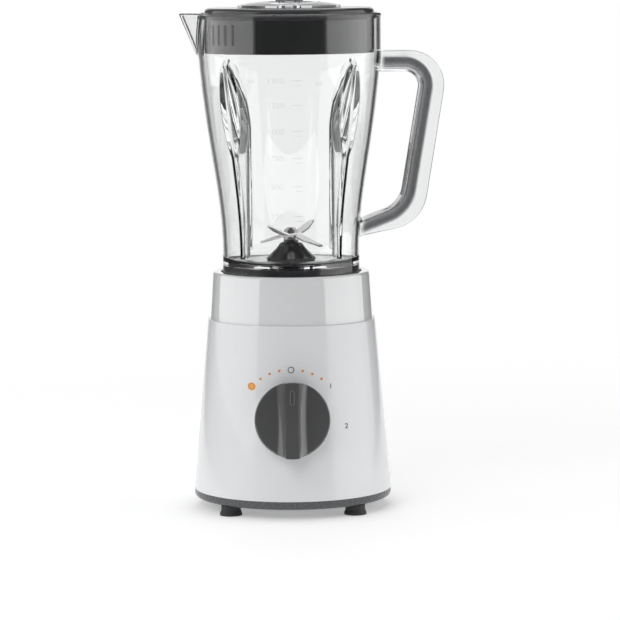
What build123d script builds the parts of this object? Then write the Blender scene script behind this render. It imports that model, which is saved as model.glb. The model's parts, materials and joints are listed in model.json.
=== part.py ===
from build123d import *
import os
from math import atan2, cos, degrees, hypot, pi, radians, sin

# Countertop blender: motor base, drive, plastic goblet with blades, lid and filler cap.
# Millimetres, +Z up. Everything is modelled around the vertical drive axis and moved as a
# whole at the end, so that the origin is the middle of the footprint on the worktop.

# ---------------------------------------------------------------- overall sizes
FOOT_H = 7.5                # worktop to underside of the base
COVER_RIM_H = 6.5           # dark strip round the bottom of the base
HOUSING_H = 129.9           # tapered white housing
COLLAR_H = 35.7             # white collar on top of it
GOBLET_H = 213.0            # well floor to goblet rim
HOUSING_BOTTOM_R = 74.8
HOUSING_TOP_R = 63.3
COLLAR_BOTTOM_R = 61.8
COLLAR_TOP_R = 59.4
SKIRT_R = 51.9              # straight lower part of the goblet
RIM_R = 69.3                # goblet at its rim

# ---------------------------------------------------------------- base walls
HOUSING_WALL = 2.6
HOUSING_EDGE_ROUND = 0.8
HOUSING_FLANGE_R = 44.0     # opening in the top of the housing
COLLAR_WALL = 2.8
COLLAR_EDGE_ROUND = 2.2
COLLAR_TOP_T = 5.6          # rim of the collar, above the gap behind the well
WELL_WALL = 2.4
WELL_FLOOR = 3.0
WELL_DEPTH = 18.6
WELL_GAP = 1.3              # goblet skirt to well wall
WELL_EDGE_ROUND = 1.0
COVER_PLATE = 2.5
COVER_EDGE_R = 3.4          # rounded lower edge of the dark strip
COVER_LIP_GAP = 0.4         # cover lip inside the housing
COVER_LIP_T = 1.9
COVER_LIP_H = 6.0

# ---------------------------------------------------------------- feet, screws, vents
FOOT_PITCH = 93.2           # between feet, both ways
FOOT_R = 8.4
FOOT_PAD_H = 2.6
FOOT_NECK_R = 7.4
FOOT_STEM_R = 3.0
FOOT_STEM_GAP = 0.1
FOOT_BULB_R = 3.4
FOOT_HOLLOW_R = 5.5
FOOT_HOLLOW_D = 1.0
COVER_SCREW_ANGLES = (30, 150, 270)
COVER_SCREW_R = 1.5
COVER_SCREW_HEAD_R = 3.2
COVER_SCREW_HEAD_H = 2.2
COVER_SCREW_L = 24.0
SCREW_BOSS_R = 5.0
SCREW_BOSS_INSET = 1.3      # boss inside the housing's inner wall
SCREW_BOSS_H = 20.0
SCREW_BOSS_GAP = 0.5        # cover lip to the boss above it
SCREW_RIB_T = 3.0
VENT_COUNT = 16
VENT_W = 3.6
OUTLET_VENT = (14.0, 32.0)  # air leaves under the fan
INLET_VENT = (43.0, 54.0)   # air enters outside the baffle

# ---------------------------------------------------------------- motor
SHAFT_R = 4.0
BEARING_R = 11.0
BEARING_H = 7.0
BEARING_BORE_GAP = 0.03     # bearing bore to the shaft
STATOR_L = 76.0
STATOR_W = 64.0
STATOR_H = 38.0
STATOR_Z = 54.0             # underside of the stator above the housing's bottom edge
STATOR_BORE_R = 22.5
AIR_GAP = 0.6
WINDOW_R = 30.2             # coil windows cut out to here
WINDOW_ANGLE = 37.0         # half angle of a coil window
COIL_GAP = 0.7
COIL_OVERHANG = 7.0         # end turns above and below the stator
SLOT_COUNT = 12
SLOT_W = 3.4
SLOT_ROOT_R = 11.0
WINDING_R = 19.5
WINDING_H = 8.0
WINDING_ROUND = 2.6
COMMUTATOR_R = 11.5
COMMUTATOR_H = 12.0
BRUSH_W = 6.0
BRUSH_H = 9.0
BRUSH_L = 16.0
BRUSH_GAP = 0.1
RISER_T = 1.4               # commutator riser
RISER_PROUD = 1.4
HOLDER_WALL = 1.6
BOLT_X = 33.0               # through bolts, half spacing
BOLT_Y = 27.0
BOLT_R = 2.0
BOLT_GAP = 0.2
POST_R = 4.6
BRACKET_T = 4.0
BRACKET_HUB_R = 14.5
BRACKET_ARM_W = 11.0
EAR_W = 8.0                 # arms to the rubber-mounted ears
LOWER_SPACER_H = 22.0       # stator to lower bracket
UPPER_SPACER_H = 14.0       # stator to upper bracket
DAMPER_X = 44.5             # rubber-mounted ears, half spacing
DAMPER_Y = 32.5
DAMPER_R = 6.0
DAMPER_HOLE_R = 2.6
DAMPER_WALL = 1.4
DAMPER_H = 4.0              # rubber above the motor's ears
DAMPER_BELOW = 2.0          # rubber below them
MOUNT_SCREW_R = 2.0
FAN_R = 34.0
FAN_H = 11.0
FAN_BLADES = 11
FAN_BLADE_T = 1.4
FAN_BRACKET_GAP = 2.5
BAFFLE_R = 38.0
FAN_TIP_GAP = 1.2           # fan to the baffle's lip
BAFFLE_T = 2.0

# ---------------------------------------------------------------- couplers
COUPLER_R = 17.0
COUPLER_LUG_R = 10.0        # inner radius of the lugs
COUPLER_LUG_INSET = 0.6     # lugs inside the disc's edge
COUPLER_LUGS = 6
COUPLER_BACKLASH = 2.0      # degrees between neighbouring lugs
COUPLER_DISC = 3.4
COUPLER_MESH = 4.4          # depth of engagement
COUPLER_END_GAP = 0.5
DRIVE_COUPLER_RISE = 1.2    # drive coupler above the well floor
SHAFT_HOLE_R = 9.0
SEAL_GAP = 0.05

# ---------------------------------------------------------------- dial
DIAL_H = 61.1               # dial centre above the housing's bottom edge
DIAL_PAD_R = 26.5
DIAL_PAD_H = 1.0            # flat pad in front of the cone
KNOB_R = 28.1
KNOB_GAP = 0.6              # knob to pad
KNOB_DISC_T = 6.0
KNOB_WALL = 2.2
KNOB_EDGE_ROUND = 1.2
GRIP_H = 13.5
GRIP_TOP_HALF = (5.4, 4.1, 5.5)      # half widths of the ridge at top, middle and bottom
GRIP_ROOT_HALF = (13.2, 12.5, 13.2)
POINTER_W = 2.4
POINTER_L = 9.7
POINTER_D = 0.9
POINTER_TOP = 21.8          # dial centre to the far end of the pointer
KNOB_HUB_R = 5.0
KNOB_HUB_END = 1.5          # closed end of the hub beyond the spindle
SPINDLE_R = 3.0
SPINDLE_GAP = 0.05
SPINDLE_PASS_GAP = 1.0      # spindle to the hole in the housing
SPINDLE_IN_KNOB = 8.0
SWITCH_L = 32.0
SWITCH_W = 28.0
SWITCH_T = 15.0
SWITCH_FLOOR = 2.5          # behind the spindle
SWITCH_CORNER_R = 3.0
TAB_COUNT = 5
TAB_PITCH = 6.0
TAB_W = 4.8
TAB_T = 0.8
TAB_L = 5.0

# ---------------------------------------------------------------- cord inlet and electrics
GLAND_H = 14.0              # inlet axis above the housing's bottom edge
GLAND_R = 7.0
GLAND_BORE_R = 3.6
GLAND_FLANGE_R = 9.0
GLAND_FLANGE_T = 2.2
GLAND_PAD_R = 11.0
GLAND_PAD_PROUD = 1.4
GLAND_INNER_L = 9.0
CAPACITOR_SIZE = (26.0, 12.0, 20.0)
CAPACITOR_PLACE = (-22.0, 48.0)

# ---------------------------------------------------------------- goblet interlock
PIN_R = 2.0
PIN_GAP = 0.05
PIN_STEM_R = 1.5
PIN_FLANGE_R = 4.0
PIN_FLANGE_T = 2.0
PIN_RISE = 3.0
PIN_BOSS_R = 6.0
PIN_BOSS_H = 12.0
PIN_SPRING_WIRE_R = 0.35
PIN_SPRING_TURNS = 5
MICROSWITCH = (20.0, 8.4, 12.0)

# ---------------------------------------------------------------- goblet
GOBLET_WALL = 3.0
GOBLET_FLOOR = 3.0
FLOOR_H = 26.0              # well floor to the inside of the goblet floor
FLOOR_CORNER_R = 4.0
FLARE_H = 29.0              # well floor to where the wall starts to flare
BAND_DEPTH = 30.5           # upright band below the rim
RIM_STEP = 0.2              # rim outside the neck under the band
FLARE_PULL_LOW = 50.0       # how far the flare leaves upright
FLARE_PULL_HIGH = 75.0      # how far it stays on the line of the neck
FLARE_SLOPE = 0.08
SPOUT_PROUD = 13.9          # tip of the spout beyond the rim
SPOUT_ROOT_PROUD = 1.3
SPOUT_HALF_ANGLE = 21.0
SPOUT_ROOT_ANGLE = 7.0
SPOUT_NOSE = 2.5
SPOUT_BELOW_TIP = 30.5
RIB_ANGLES = (45, 135, 225, 315)
RIB_DEPTH = 5.9             # crest inside the skirt's inner wall
RIB_STEM_HALF = 3.4
RIB_LEAF_HALF = 10.6
RIB_NOSE_HALF = 1.5
RIB_LEVELS = 9
RIB_START = 0.015           # along the flare, 0 at its foot and 1 at the band
RIB_LEAF_START = 0.58
RIB_END = 0.955
GROOVE_MOUTH_HALF = 1.3
GROOVE_NOSE_HALF = 0.5
GROOVE_WALL = 3.0
HANDLE_W = 20.0
HANDLE_WALL = 2.8
HANDLE_FLOOR = 3.2
HANDLE_DROP = 28.5          # top of the handle below the rim
HANDLE_FOOT_H = 25.4        # collar top to where the handle's underside meets the wall
HANDLE_OUTER_OUT = (51.5, 30.4)      # upper and lower outer corners beyond the neck
HANDLE_OUTER_LOW = 11.0              # lower outer corner above the handle's foot
HANDLE_INNER_OUT = (29.3, 12.9)      # upper and lower finger-side corners beyond the neck
HANDLE_INNER_DROP = 16.1             # upper finger-side corner below the handle's top
HANDLE_INNER_LOW = 25.9              # lower finger-side corner above the foot
HANDLE_INNER_END = 13.1              # finger side meets the wall above the foot
HANDLE_ROOT_IN = 1.9                 # run into the wall, inside the skirt's radius
HANDLE_OUTER_BENDS = (26.0, 30.0)
HANDLE_INNER_BENDS = (10.4, 20.0)
HANDLE_FINGER_R = 7.5       # rounding on the finger side
CHANNEL_ROUND = 4.5

# ---------------------------------------------------------------- goblet base and blades
BASE_RING_T = 4.3
BASE_RING_FOOT = 4.0        # ring underside above the well floor
BASE_LUG_T = 3.0
BASE_LUG_W = 9.0
BASE_LUG_H = 5.0
CARRIER_FLANGE_R = 18.8
CARRIER_FLANGE_T = 1.6
CARRIER_H = 14.8            # seal to the top of the neck
CARRIER_SHOULDER_R = 9.4
CARRIER_SHOULDER_H = 10.6
CARRIER_DISH = 0.35         # hollow of the flank between flange and shoulder
CARRIER_NECK_R = 5.6
CARRIER_STUB_R = 11.0
CARRIER_STUB_GAP = 0.3
CARRIER_BORE_R = 6.5
CARRIER_SEAL_T = 1.2
CARRIER_NUT_R = 17.0
CARRIER_NUT_T = 6.4
LIP_SEAL_R = 4.3
LIP_SEAL_T = 3.0
LIP_SEAL_LAND = 3.0         # bushing top to the lip seal
LIP_SEAL_GAP = 0.05
BUSHING_GAP = 0.04
JOURNAL_STEP = 0.8          # shaft radius less the part that carries the blades
BLADE_SHAFT_TOP = 5.6       # shaft above the blade stack's middle
THRUST_WASHER_T = 0.9
BLADE_T = 1.3
BLADE_W = 9.4
BLADE_TIP_W = 3.2
BLADE_HUB_L = 15.0
BLADE_REACH = 28.4
BLADE_UP = 8.2
BLADE_DOWN = 6.6
UPPER_BLADE_ANGLE = 48.0
LOWER_BLADE_ANGLE = 135.0
BLADE_STACK_H = 2.4         # neck top to the lower blade
BLADE_NUT_R = 5.2
BLADE_NUT_H = 3.6

# ---------------------------------------------------------------- lid and filler cap
LID_GAP = 2.3               # lid skirt to the inside of the rim
LID_SKIRT_DEPTH = 29.5
LID_SKIRT_T = 2.2
LID_RISE = 4.0              # lid top above the goblet rim
LID_TOP_T = 2.4
LID_EDGE_ROUND = 3.4
LID_OPENING_R = 33.6
LID_COLLAR_DEPTH = 12.0
LID_COLLAR_T = 2.0
STRAINER_SLOTS = 16
STRAINER_PITCH = 6.7        # degrees between slots, about the spout's side
STRAINER_SLOT_W = 2.6
STRAINER_SLOT_H = 15.0
STRAINER_SLOT_DROP = 8.2    # rim to the top of the slots
LID_SEAL_T = 3.4
LID_SEAL_SEAT = 1.0         # depth of the seal's groove
LID_SEAL_GAP = 0.15
LID_SEAL_DROP = 4.6
CAP_FLANGE_R = 39.0
CAP_FLANGE_T = 1.6
CAP_RISE = 0.2
CAP_DOME_H = 4.4
CAP_CUP_R = 32.6
CAP_CUP_DEPTH = 34.0
CAP_CUP_WALL = 2.0
CAP_CUP_TAPER = 1.4
CAP_GRIP_R = 10.5
CAP_GRIP_TOP_R = 8.6
CAP_GRIP_H = 7.4
CAP_DISH_R_IN = 13.0
CAP_DISH_R_OUT = 25.0
CAP_DISH_D = 2.6

# ---------------------------------------------------------------- levels on the drive axis
Z_HOUSING = FOOT_H + COVER_RIM_H
Z_COLLAR = Z_HOUSING + HOUSING_H
Z_COLLAR_TOP = Z_COLLAR + COLLAR_H
Z_WELL = Z_COLLAR_TOP - WELL_DEPTH
Z_WELL_UNDER = Z_WELL - WELL_FLOOR
Z_FLOOR = Z_WELL + FLOOR_H
Z_FLOOR_UNDER = Z_FLOOR - GOBLET_FLOOR
Z_FLARE = Z_WELL + FLARE_H
Z_RIM = Z_WELL + GOBLET_H
Z_BAND = Z_RIM - BAND_DEPTH
Z_HANDLE = Z_RIM - HANDLE_DROP
Z_HANDLE_FOOT = Z_COLLAR_TOP + HANDLE_FOOT_H
Z_STATOR = Z_HOUSING + STATOR_Z
Z_STATOR_TOP = Z_STATOR + STATOR_H
Z_LOWER_BRACKET = Z_STATOR - LOWER_SPACER_H - BRACKET_T
Z_UPPER_BRACKET = Z_STATOR_TOP + UPPER_SPACER_H
Z_LOWER_BEARING = Z_LOWER_BRACKET + BRACKET_T - BEARING_H
Z_UPPER_BEARING = Z_UPPER_BRACKET
Z_FAN_TOP = Z_LOWER_BEARING - FAN_BRACKET_GAP
Z_FAN = Z_FAN_TOP - FAN_H
Z_DRIVE_COUPLER = Z_WELL + DRIVE_COUPLER_RISE
Z_MESH = Z_DRIVE_COUPLER + COUPLER_DISC
Z_DRIVEN_COUPLER = Z_MESH + COUPLER_MESH + COUPLER_END_GAP
Z_CARRIER = Z_FLOOR + CARRIER_SEAL_T
Z_NECK = Z_CARRIER + CARRIER_H
Z_STUB = Z_DRIVEN_COUPLER + COUPLER_DISC + THRUST_WASHER_T + 0.1
Z_BLADES = Z_NECK + BLADE_STACK_H + BLADE_T
Z_DIAL = Z_HOUSING + DIAL_H
Z_GLAND = Z_HOUSING + GLAND_H
Z_LID_TOP = Z_RIM + LID_RISE

TAPER = (HOUSING_BOTTOM_R - HOUSING_TOP_R) / HOUSING_H
TAPER_ANGLE = degrees(atan2(HOUSING_BOTTOM_R - HOUSING_TOP_R, HOUSING_H))
WELL_R = SKIRT_R + WELL_GAP
PIN_RADIUS = SKIRT_R - GOBLET_WALL / 2
NECK_R = RIM_R - RIM_STEP
RIB_CREST_R = SKIRT_R - GOBLET_WALL - RIB_DEPTH
BASE_RING_OUTER = SKIRT_R - GOBLET_WALL
BASE_RING_INNER = BASE_RING_OUTER - BASE_RING_T
SPOUT_REACH = RIM_R + SPOUT_PROUD
SPOUT_ROOT_REACH = RIM_R + SPOUT_ROOT_PROUD
LID_BORE_R = RIM_R - GOBLET_WALL
LID_SKIRT_R = LID_BORE_R - LID_GAP
COVER_SCREW_RADIUS = HOUSING_BOTTOM_R - HOUSING_WALL - SCREW_BOSS_R - SCREW_BOSS_INSET
JOURNAL_R = SHAFT_R - JOURNAL_STEP


def housing_radius(z):
    """Outer radius of the tapered housing at height z."""
    return HOUSING_BOTTOM_R - TAPER * (z - Z_HOUSING)


def inner_radius(z):
    """Inner radius of the tapered housing at height z."""
    return housing_radius(z) - HOUSING_WALL


DIAL_Y = -housing_radius(Z_DIAL)
DIAL_PLANE = Plane(
    origin=(0, DIAL_Y, Z_DIAL),
    x_dir=(1, 0, 0),
    z_dir=(0, -cos(radians(TAPER_ANGLE)), sin(radians(TAPER_ANGLE))),
)
DIAL_INNER = DIAL_PAD_H - HOUSING_WALL      # inner face of the pad, along the dial axis
KNOB_BACK = DIAL_PAD_H + KNOB_GAP
KNOB_FACE = KNOB_BACK + KNOB_DISC_T
GRIP_TOP = KNOB_FACE + GRIP_H


def handle_reach():
    """How far the handle's upper bend stands from the drive axis."""
    out_top, out_low = HANDLE_OUTER_OUT
    lean = (out_top - out_low) / (Z_HANDLE - Z_HANDLE_FOOT - HANDLE_OUTER_LOW)
    bend = HANDLE_OUTER_BENDS[0]
    return NECK_R + out_top - bend * lean - bend * hypot(1, lean) + bend


# The blender's box: spout to handle, knob to the back of the cord inlet.
HANDLE_REACH = handle_reach()
FRONT_REACH = -DIAL_Y + GRIP_TOP * cos(radians(TAPER_ANGLE)) + KNOB_R * sin(radians(TAPER_ANGLE))
REAR_REACH = housing_radius(Z_GLAND) + GLAND_PAD_PROUD + GLAND_FLANGE_T
AXIS_X = (SPOUT_REACH - HANDLE_REACH) / 2
AXIS_Y = (FRONT_REACH - REAR_REACH) / 2


# ---------------------------------------------------------------- helpers
def rod(radius, z_low, z_high, x=0.0, y=0.0):
    """Upright cylinder between two heights."""
    return Pos(x, y, z_low) * Cylinder(radius, z_high - z_low, align=(Align.CENTER, Align.CENTER, Align.MIN))


def tube(outer, inner, z_low, z_high, x=0.0, y=0.0):
    """Upright tube between two heights."""
    return rod(outer, z_low, z_high, x, y) - rod(inner, z_low - 1, z_high + 1, x, y)


def block(length, width, z_low, z_high, x=0.0, y=0.0):
    """Upright box centred on (x, y) between two heights."""
    height = z_high - z_low
    return Pos(x, y, z_low) * Box(length, width, height, align=(Align.CENTER, Align.CENTER, Align.MIN))


def stud(radius, length, z_low=0.0):
    """Cylinder that starts at a height on its own axis."""
    return Pos(0, 0, z_low) * Cylinder(radius, length, align=(Align.CENTER, Align.CENTER, Align.MIN))


def slab(length, width, height, z_low=0.0, x=0.0):
    """Box that starts at a height on its own axis."""
    return Pos(x, 0, z_low) * Box(length, width, height, align=(Align.CENTER, Align.CENTER, Align.MIN))


def turned(*corners):
    """Solid of revolution about the drive axis from (radius, height) corners."""
    line = Polyline(*[(r, 0, z) for r, z in corners], close=True)
    return revolve(make_face(line), axis=Axis.Z)


def sector(outer, inner, z_low, z_high, middle, half):
    """Part of a ring between two radii, centred on an angle in degrees."""
    corners = ((inner, 0, z_low), (outer, 0, z_low), (outer, 0, z_high), (inner, 0, z_high))
    face = make_face(Polyline(*corners, close=True))
    return Rot(0, 0, middle - half) * revolve(face, axis=Axis.Z, revolution_arc=2 * half)


def around(part, count, start=0.0):
    """Copies of a part at equal angles about the drive axis."""
    return [Rot(0, 0, start + 360.0 * k / count) * part for k in range(count)]


def polar(radius, angle):
    """Plan position from radius and angle in degrees."""
    return radius * cos(radians(angle)), radius * sin(radians(angle))


def corners_at(half_x, half_y):
    """The four corners of a rectangle."""
    return [(sx * half_x, sy * half_y) for sx in (-1, 1) for sy in (-1, 1)]


def rounded_at(solid, z, radius, size):
    """Round the circular edges of one radius at one height."""
    near = [
        edge for edge in solid.edges().filter_by(GeomType.CIRCLE)
        if abs(edge.center().Z - z) < 0.05 and abs(edge.radius - radius) < 0.05
    ]
    return fillet(near, size)


# ---------------------------------------------------------------- base shell
def main_housing():
    """Tapered shell with a top flange, dial pad, cord inlet pad, bosses and motor posts."""
    z_flange = Z_COLLAR - HOUSING_WALL
    shell = turned(
        (HOUSING_BOTTOM_R, Z_HOUSING),
        (HOUSING_TOP_R, Z_COLLAR),
        (HOUSING_FLANGE_R, Z_COLLAR),
        (HOUSING_FLANGE_R, z_flange),
        (inner_radius(z_flange), z_flange),
        (inner_radius(Z_HOUSING), Z_HOUSING),
    )
    shell = rounded_at(shell, Z_COLLAR, HOUSING_TOP_R, HOUSING_EDGE_ROUND)
    core = turned(
        (0, Z_HOUSING),
        (inner_radius(Z_HOUSING), Z_HOUSING),
        (inner_radius(z_flange), z_flange),
        (0, z_flange),
    )

    pad = DIAL_PLANE * stud(DIAL_PAD_R, 12 + DIAL_PAD_H, -12)
    pad_hollow = DIAL_PLANE * stud(DIAL_PAD_R - HOUSING_WALL, 20 + DIAL_INNER, -20)
    shell = shell + (pad - core) - pad_hollow
    spindle_hole = DIAL_PLANE * Cylinder(SPINDLE_R + SPINDLE_PASS_GAP, 20)
    shell -= spindle_hole

    gland_pad = gland_rod(GLAND_PAD_R, housing_radius(Z_GLAND) - 8, housing_radius(Z_GLAND) + GLAND_PAD_PROUD)
    shell += gland_pad - core
    shell -= gland_rod(GLAND_R, 40, 100)

    z_boss = Z_HOUSING + COVER_LIP_H + SCREW_BOSS_GAP
    whole = turned(
        (0, Z_HOUSING),
        (housing_radius(Z_HOUSING) - HOUSING_WALL / 2, Z_HOUSING),
        (housing_radius(Z_COLLAR) - HOUSING_WALL / 2, Z_COLLAR),
        (0, Z_COLLAR),
    )
    for angle in COVER_SCREW_ANGLES:
        x, y = polar(COVER_SCREW_RADIUS, angle)
        z_top = z_boss + SCREW_BOSS_H
        boss = rod(SCREW_BOSS_R, z_boss, z_top, x, y)
        rib_length = inner_radius(z_boss) - COVER_SCREW_RADIUS + HOUSING_WALL / 2
        rib_middle = COVER_SCREW_RADIUS + rib_length / 2
        rib = Rot(0, 0, angle) * block(rib_length, SCREW_RIB_T, z_boss, z_top, rib_middle)
        shell += (boss + rib) & whole
        shell -= rod(COVER_SCREW_R, z_boss - 1, z_boss + SCREW_BOSS_H - 2, x, y)

    z_post = Z_UPPER_BRACKET + BRACKET_T + DAMPER_H
    for x, y in corners_at(DAMPER_X, DAMPER_Y):
        shell += rod(DAMPER_R - 1.0, z_post, Z_COLLAR - HOUSING_WALL / 2, x, y)
        shell -= rod(MOUNT_SCREW_R, z_post - 1, Z_COLLAR - 2.0, x, y)
    shell -= block(MICROSWITCH[0] + 4, 2 * PIN_BOSS_R + 4, Z_COLLAR - 10, Z_COLLAR + 1, 0, PIN_RADIUS)
    return shell


def gland_rod(radius, y_from, y_to):
    """Cylinder along the cord inlet's axis, at the back of the base."""
    length = y_to - y_from
    return Pos(0, y_from, Z_GLAND) * Rot(-90, 0, 0) * stud(radius, length)


def top_collar():
    """White collar with the well that takes the goblet's skirt."""
    groove_out = COLLAR_TOP_R - COLLAR_WALL
    z_groove = Z_COLLAR_TOP - COLLAR_TOP_T
    collar = turned(
        (COLLAR_BOTTOM_R, Z_COLLAR),
        (COLLAR_TOP_R, Z_COLLAR_TOP),
        (WELL_R, Z_COLLAR_TOP),
        (WELL_R, Z_WELL),
        (SHAFT_HOLE_R, Z_WELL),
        (SHAFT_HOLE_R, Z_WELL_UNDER),
        (WELL_R + WELL_WALL, Z_WELL_UNDER),
        (WELL_R + WELL_WALL, z_groove),
        (groove_out, z_groove),
        (COLLAR_BOTTOM_R - COLLAR_WALL, Z_COLLAR),
    )
    collar = rounded_at(collar, Z_COLLAR_TOP, COLLAR_TOP_R, COLLAR_EDGE_ROUND)
    collar = rounded_at(collar, Z_COLLAR_TOP, WELL_R, WELL_EDGE_ROUND)
    collar += rod(PIN_BOSS_R, Z_WELL - PIN_BOSS_H - WELL_FLOOR, Z_WELL_UNDER + 0.5, 0, PIN_RADIUS)
    collar -= rod(PIN_R + PIN_GAP, Z_WELL_UNDER - 1, Z_WELL + 1, 0, PIN_RADIUS)
    collar -= rod(PIN_FLANGE_R + 0.2, Z_WELL - PIN_BOSS_H - WELL_FLOOR - 1, Z_WELL_UNDER, 0, PIN_RADIUS)
    return collar


def bottom_cover():
    """Dark bottom cover: outer strip, plate with vents, lip inside the housing."""
    lip_r = inner_radius(Z_HOUSING + COVER_LIP_H) - COVER_LIP_GAP
    cover = turned(
        (0, FOOT_H),
        (HOUSING_BOTTOM_R, FOOT_H),
        (HOUSING_BOTTOM_R, Z_HOUSING),
        (lip_r, Z_HOUSING),
        (lip_r, Z_HOUSING + COVER_LIP_H),
        (lip_r - COVER_LIP_T, Z_HOUSING + COVER_LIP_H),
        (lip_r - COVER_LIP_T, FOOT_H + COVER_PLATE),
        (0, FOOT_H + COVER_PLATE),
    )
    cover = rounded_at(cover, FOOT_H, HOUSING_BOTTOM_R, COVER_EDGE_R)
    z_top = Z_HOUSING + COVER_LIP_H + SCREW_BOSS_GAP - 0.3
    for angle in COVER_SCREW_ANGLES:
        x, y = polar(COVER_SCREW_RADIUS, angle)
        cover += rod(SCREW_BOSS_R, FOOT_H + 0.5, z_top, x, y)
        cover -= rod(COVER_SCREW_R + 0.25, FOOT_H - 1, z_top + 1, x, y)
        cover -= rod(COVER_SCREW_HEAD_R + 0.4, FOOT_H - 1, FOOT_H + COVER_SCREW_HEAD_H + 0.6, x, y)
    for inner, outer in (OUTLET_VENT, INLET_VENT):
        slot = block(outer - inner, VENT_W, FOOT_H - 1, FOOT_H + COVER_PLATE + 1, (inner + outer) / 2)
        for cut in around(slot, VENT_COUNT, 180.0 / VENT_COUNT):
            cover -= cut
    for x, y in corners_at(FOOT_PITCH / 2, FOOT_PITCH / 2):
        cover -= rod(FOOT_STEM_R + FOOT_STEM_GAP, FOOT_H - 1, FOOT_H + COVER_PLATE + 1, x, y)
    return cover


def foot(x, y):
    """Rubber suction foot with its stem through the cover."""
    z_bulb = FOOT_H + COVER_PLATE
    body = turned(
        (FOOT_HOLLOW_R, 0),
        (FOOT_R, 0),
        (FOOT_R, FOOT_PAD_H * 0.5),
        (FOOT_NECK_R, FOOT_PAD_H + 1.2),
        (FOOT_NECK_R, FOOT_H),
        (FOOT_STEM_R, FOOT_H),
        (FOOT_STEM_R, z_bulb),
        (FOOT_BULB_R, z_bulb),
        (FOOT_STEM_R, z_bulb + 2.4),
        (0, z_bulb + 2.4),
        (0, FOOT_HOLLOW_D),
    )
    return Pos(x, y, 0) * body


def cover_screws():
    """Screws that hold the bottom cover to the housing."""
    z_seat = FOOT_H + COVER_SCREW_HEAD_H + 0.6
    screws = []
    for angle in COVER_SCREW_ANGLES:
        x, y = polar(COVER_SCREW_RADIUS, angle)
        screw = rod(COVER_SCREW_R, z_seat, z_seat + COVER_SCREW_L, x, y)
        head = rod(COVER_SCREW_HEAD_R, z_seat - COVER_SCREW_HEAD_H, z_seat, x, y)
        slot = Rot(0, 0, 45) * block(3.4, 0.8, 0, 1.0)
        cross = slot + Rot(0, 0, 90) * slot
        screws.append(screw + head - Pos(x, y, z_seat - COVER_SCREW_HEAD_H - 0.2) * cross)
    return screws


# ---------------------------------------------------------------- motor
def bracket(z_plate, z_hub, hub_height, z_post, post_height, cross_bar):
    """Motor end bracket: bearing hub, arms to the through bolts and spacer posts."""
    hub = rod(BRACKET_HUB_R, z_hub, z_hub + hub_height)
    frame = hub
    reach = 2 * hypot(BOLT_X, BOLT_Y)
    lean = degrees(atan2(BOLT_Y, BOLT_X))
    for angle in (lean, -lean):
        frame += Rot(0, 0, angle) * block(reach, BRACKET_ARM_W, z_plate, z_plate + BRACKET_T)
    if cross_bar:
        frame += block(STATOR_L - 4, BRACKET_ARM_W + 2, z_plate, z_plate + BRACKET_T)
    for x, y in corners_at(BOLT_X, BOLT_Y):
        frame += rod(POST_R, z_post, z_post + post_height, x, y)
        frame += rod(BRACKET_ARM_W / 2, z_plate, z_plate + BRACKET_T, x, y)
    for x, y in corners_at(BOLT_X, BOLT_Y):
        frame -= rod(BOLT_R + BOLT_GAP, z_plate - 10, z_post + post_height + 10, x, y)
    return frame


def motor_lower_bracket():
    """Lower bracket with the lower bearing's seat and the bar that carries the brushes."""
    z_hub = Z_LOWER_BEARING - 1.5
    frame = bracket(
        Z_LOWER_BRACKET, z_hub, BEARING_H + 1.5, Z_LOWER_BRACKET, BRACKET_T + LOWER_SPACER_H, True
    )
    frame -= rod(BEARING_R, Z_LOWER_BEARING, Z_LOWER_BEARING + BEARING_H + 1)
    return frame - rod(SHAFT_R + 3, z_hub - 1, Z_LOWER_BEARING + 1)


def motor_upper_bracket():
    """Upper bracket with the upper bearing's seat and four rubber-mounted ears."""
    frame = bracket(
        Z_UPPER_BRACKET, Z_UPPER_BEARING, BEARING_H + 1.5,
        Z_STATOR_TOP, BRACKET_T + UPPER_SPACER_H, False
    )
    z_top = Z_UPPER_BRACKET + BRACKET_T
    length = hypot(DAMPER_X - BOLT_X, DAMPER_Y - BOLT_Y)
    for (x, y), (bolt_x, bolt_y) in zip(corners_at(DAMPER_X, DAMPER_Y), corners_at(BOLT_X, BOLT_Y)):
        lean = degrees(atan2(y - bolt_y, x - bolt_x))
        ear = Rot(0, 0, lean) * block(length, EAR_W, Z_UPPER_BRACKET, z_top)
        frame += Pos((x + bolt_x) / 2, (y + bolt_y) / 2, 0) * ear
        frame += rod(DAMPER_R, Z_UPPER_BRACKET, z_top, x, y)
    for x, y in corners_at(DAMPER_X, DAMPER_Y):
        frame -= rod(DAMPER_HOLE_R + DAMPER_WALL, Z_UPPER_BRACKET - 1, Z_UPPER_BRACKET + BRACKET_T + 1, x, y)
    for x, y in corners_at(BOLT_X, BOLT_Y):
        frame -= rod(BOLT_R + BOLT_GAP, Z_STATOR_TOP - 1, Z_UPPER_BRACKET + BRACKET_T + 1, x, y)
    frame -= rod(BEARING_R, Z_UPPER_BEARING - 1, Z_UPPER_BEARING + BEARING_H)
    return frame - rod(SHAFT_R + 3, Z_UPPER_BEARING, Z_UPPER_BEARING + BEARING_H + 3)


def bearing(z_low):
    """Ball bearing drawn as its two rings and the shielded middle in one piece."""
    body = tube(BEARING_R, SHAFT_R + BEARING_BORE_GAP, z_low, z_low + BEARING_H)
    groove = tube(BEARING_R - 1.8, SHAFT_R + 1.8, z_low - 0.01, z_low + 0.6)
    upper = tube(BEARING_R - 1.8, SHAFT_R + 1.8, z_low + BEARING_H - 0.6, z_low + BEARING_H + 0.01)
    return body - groove - upper


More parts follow.
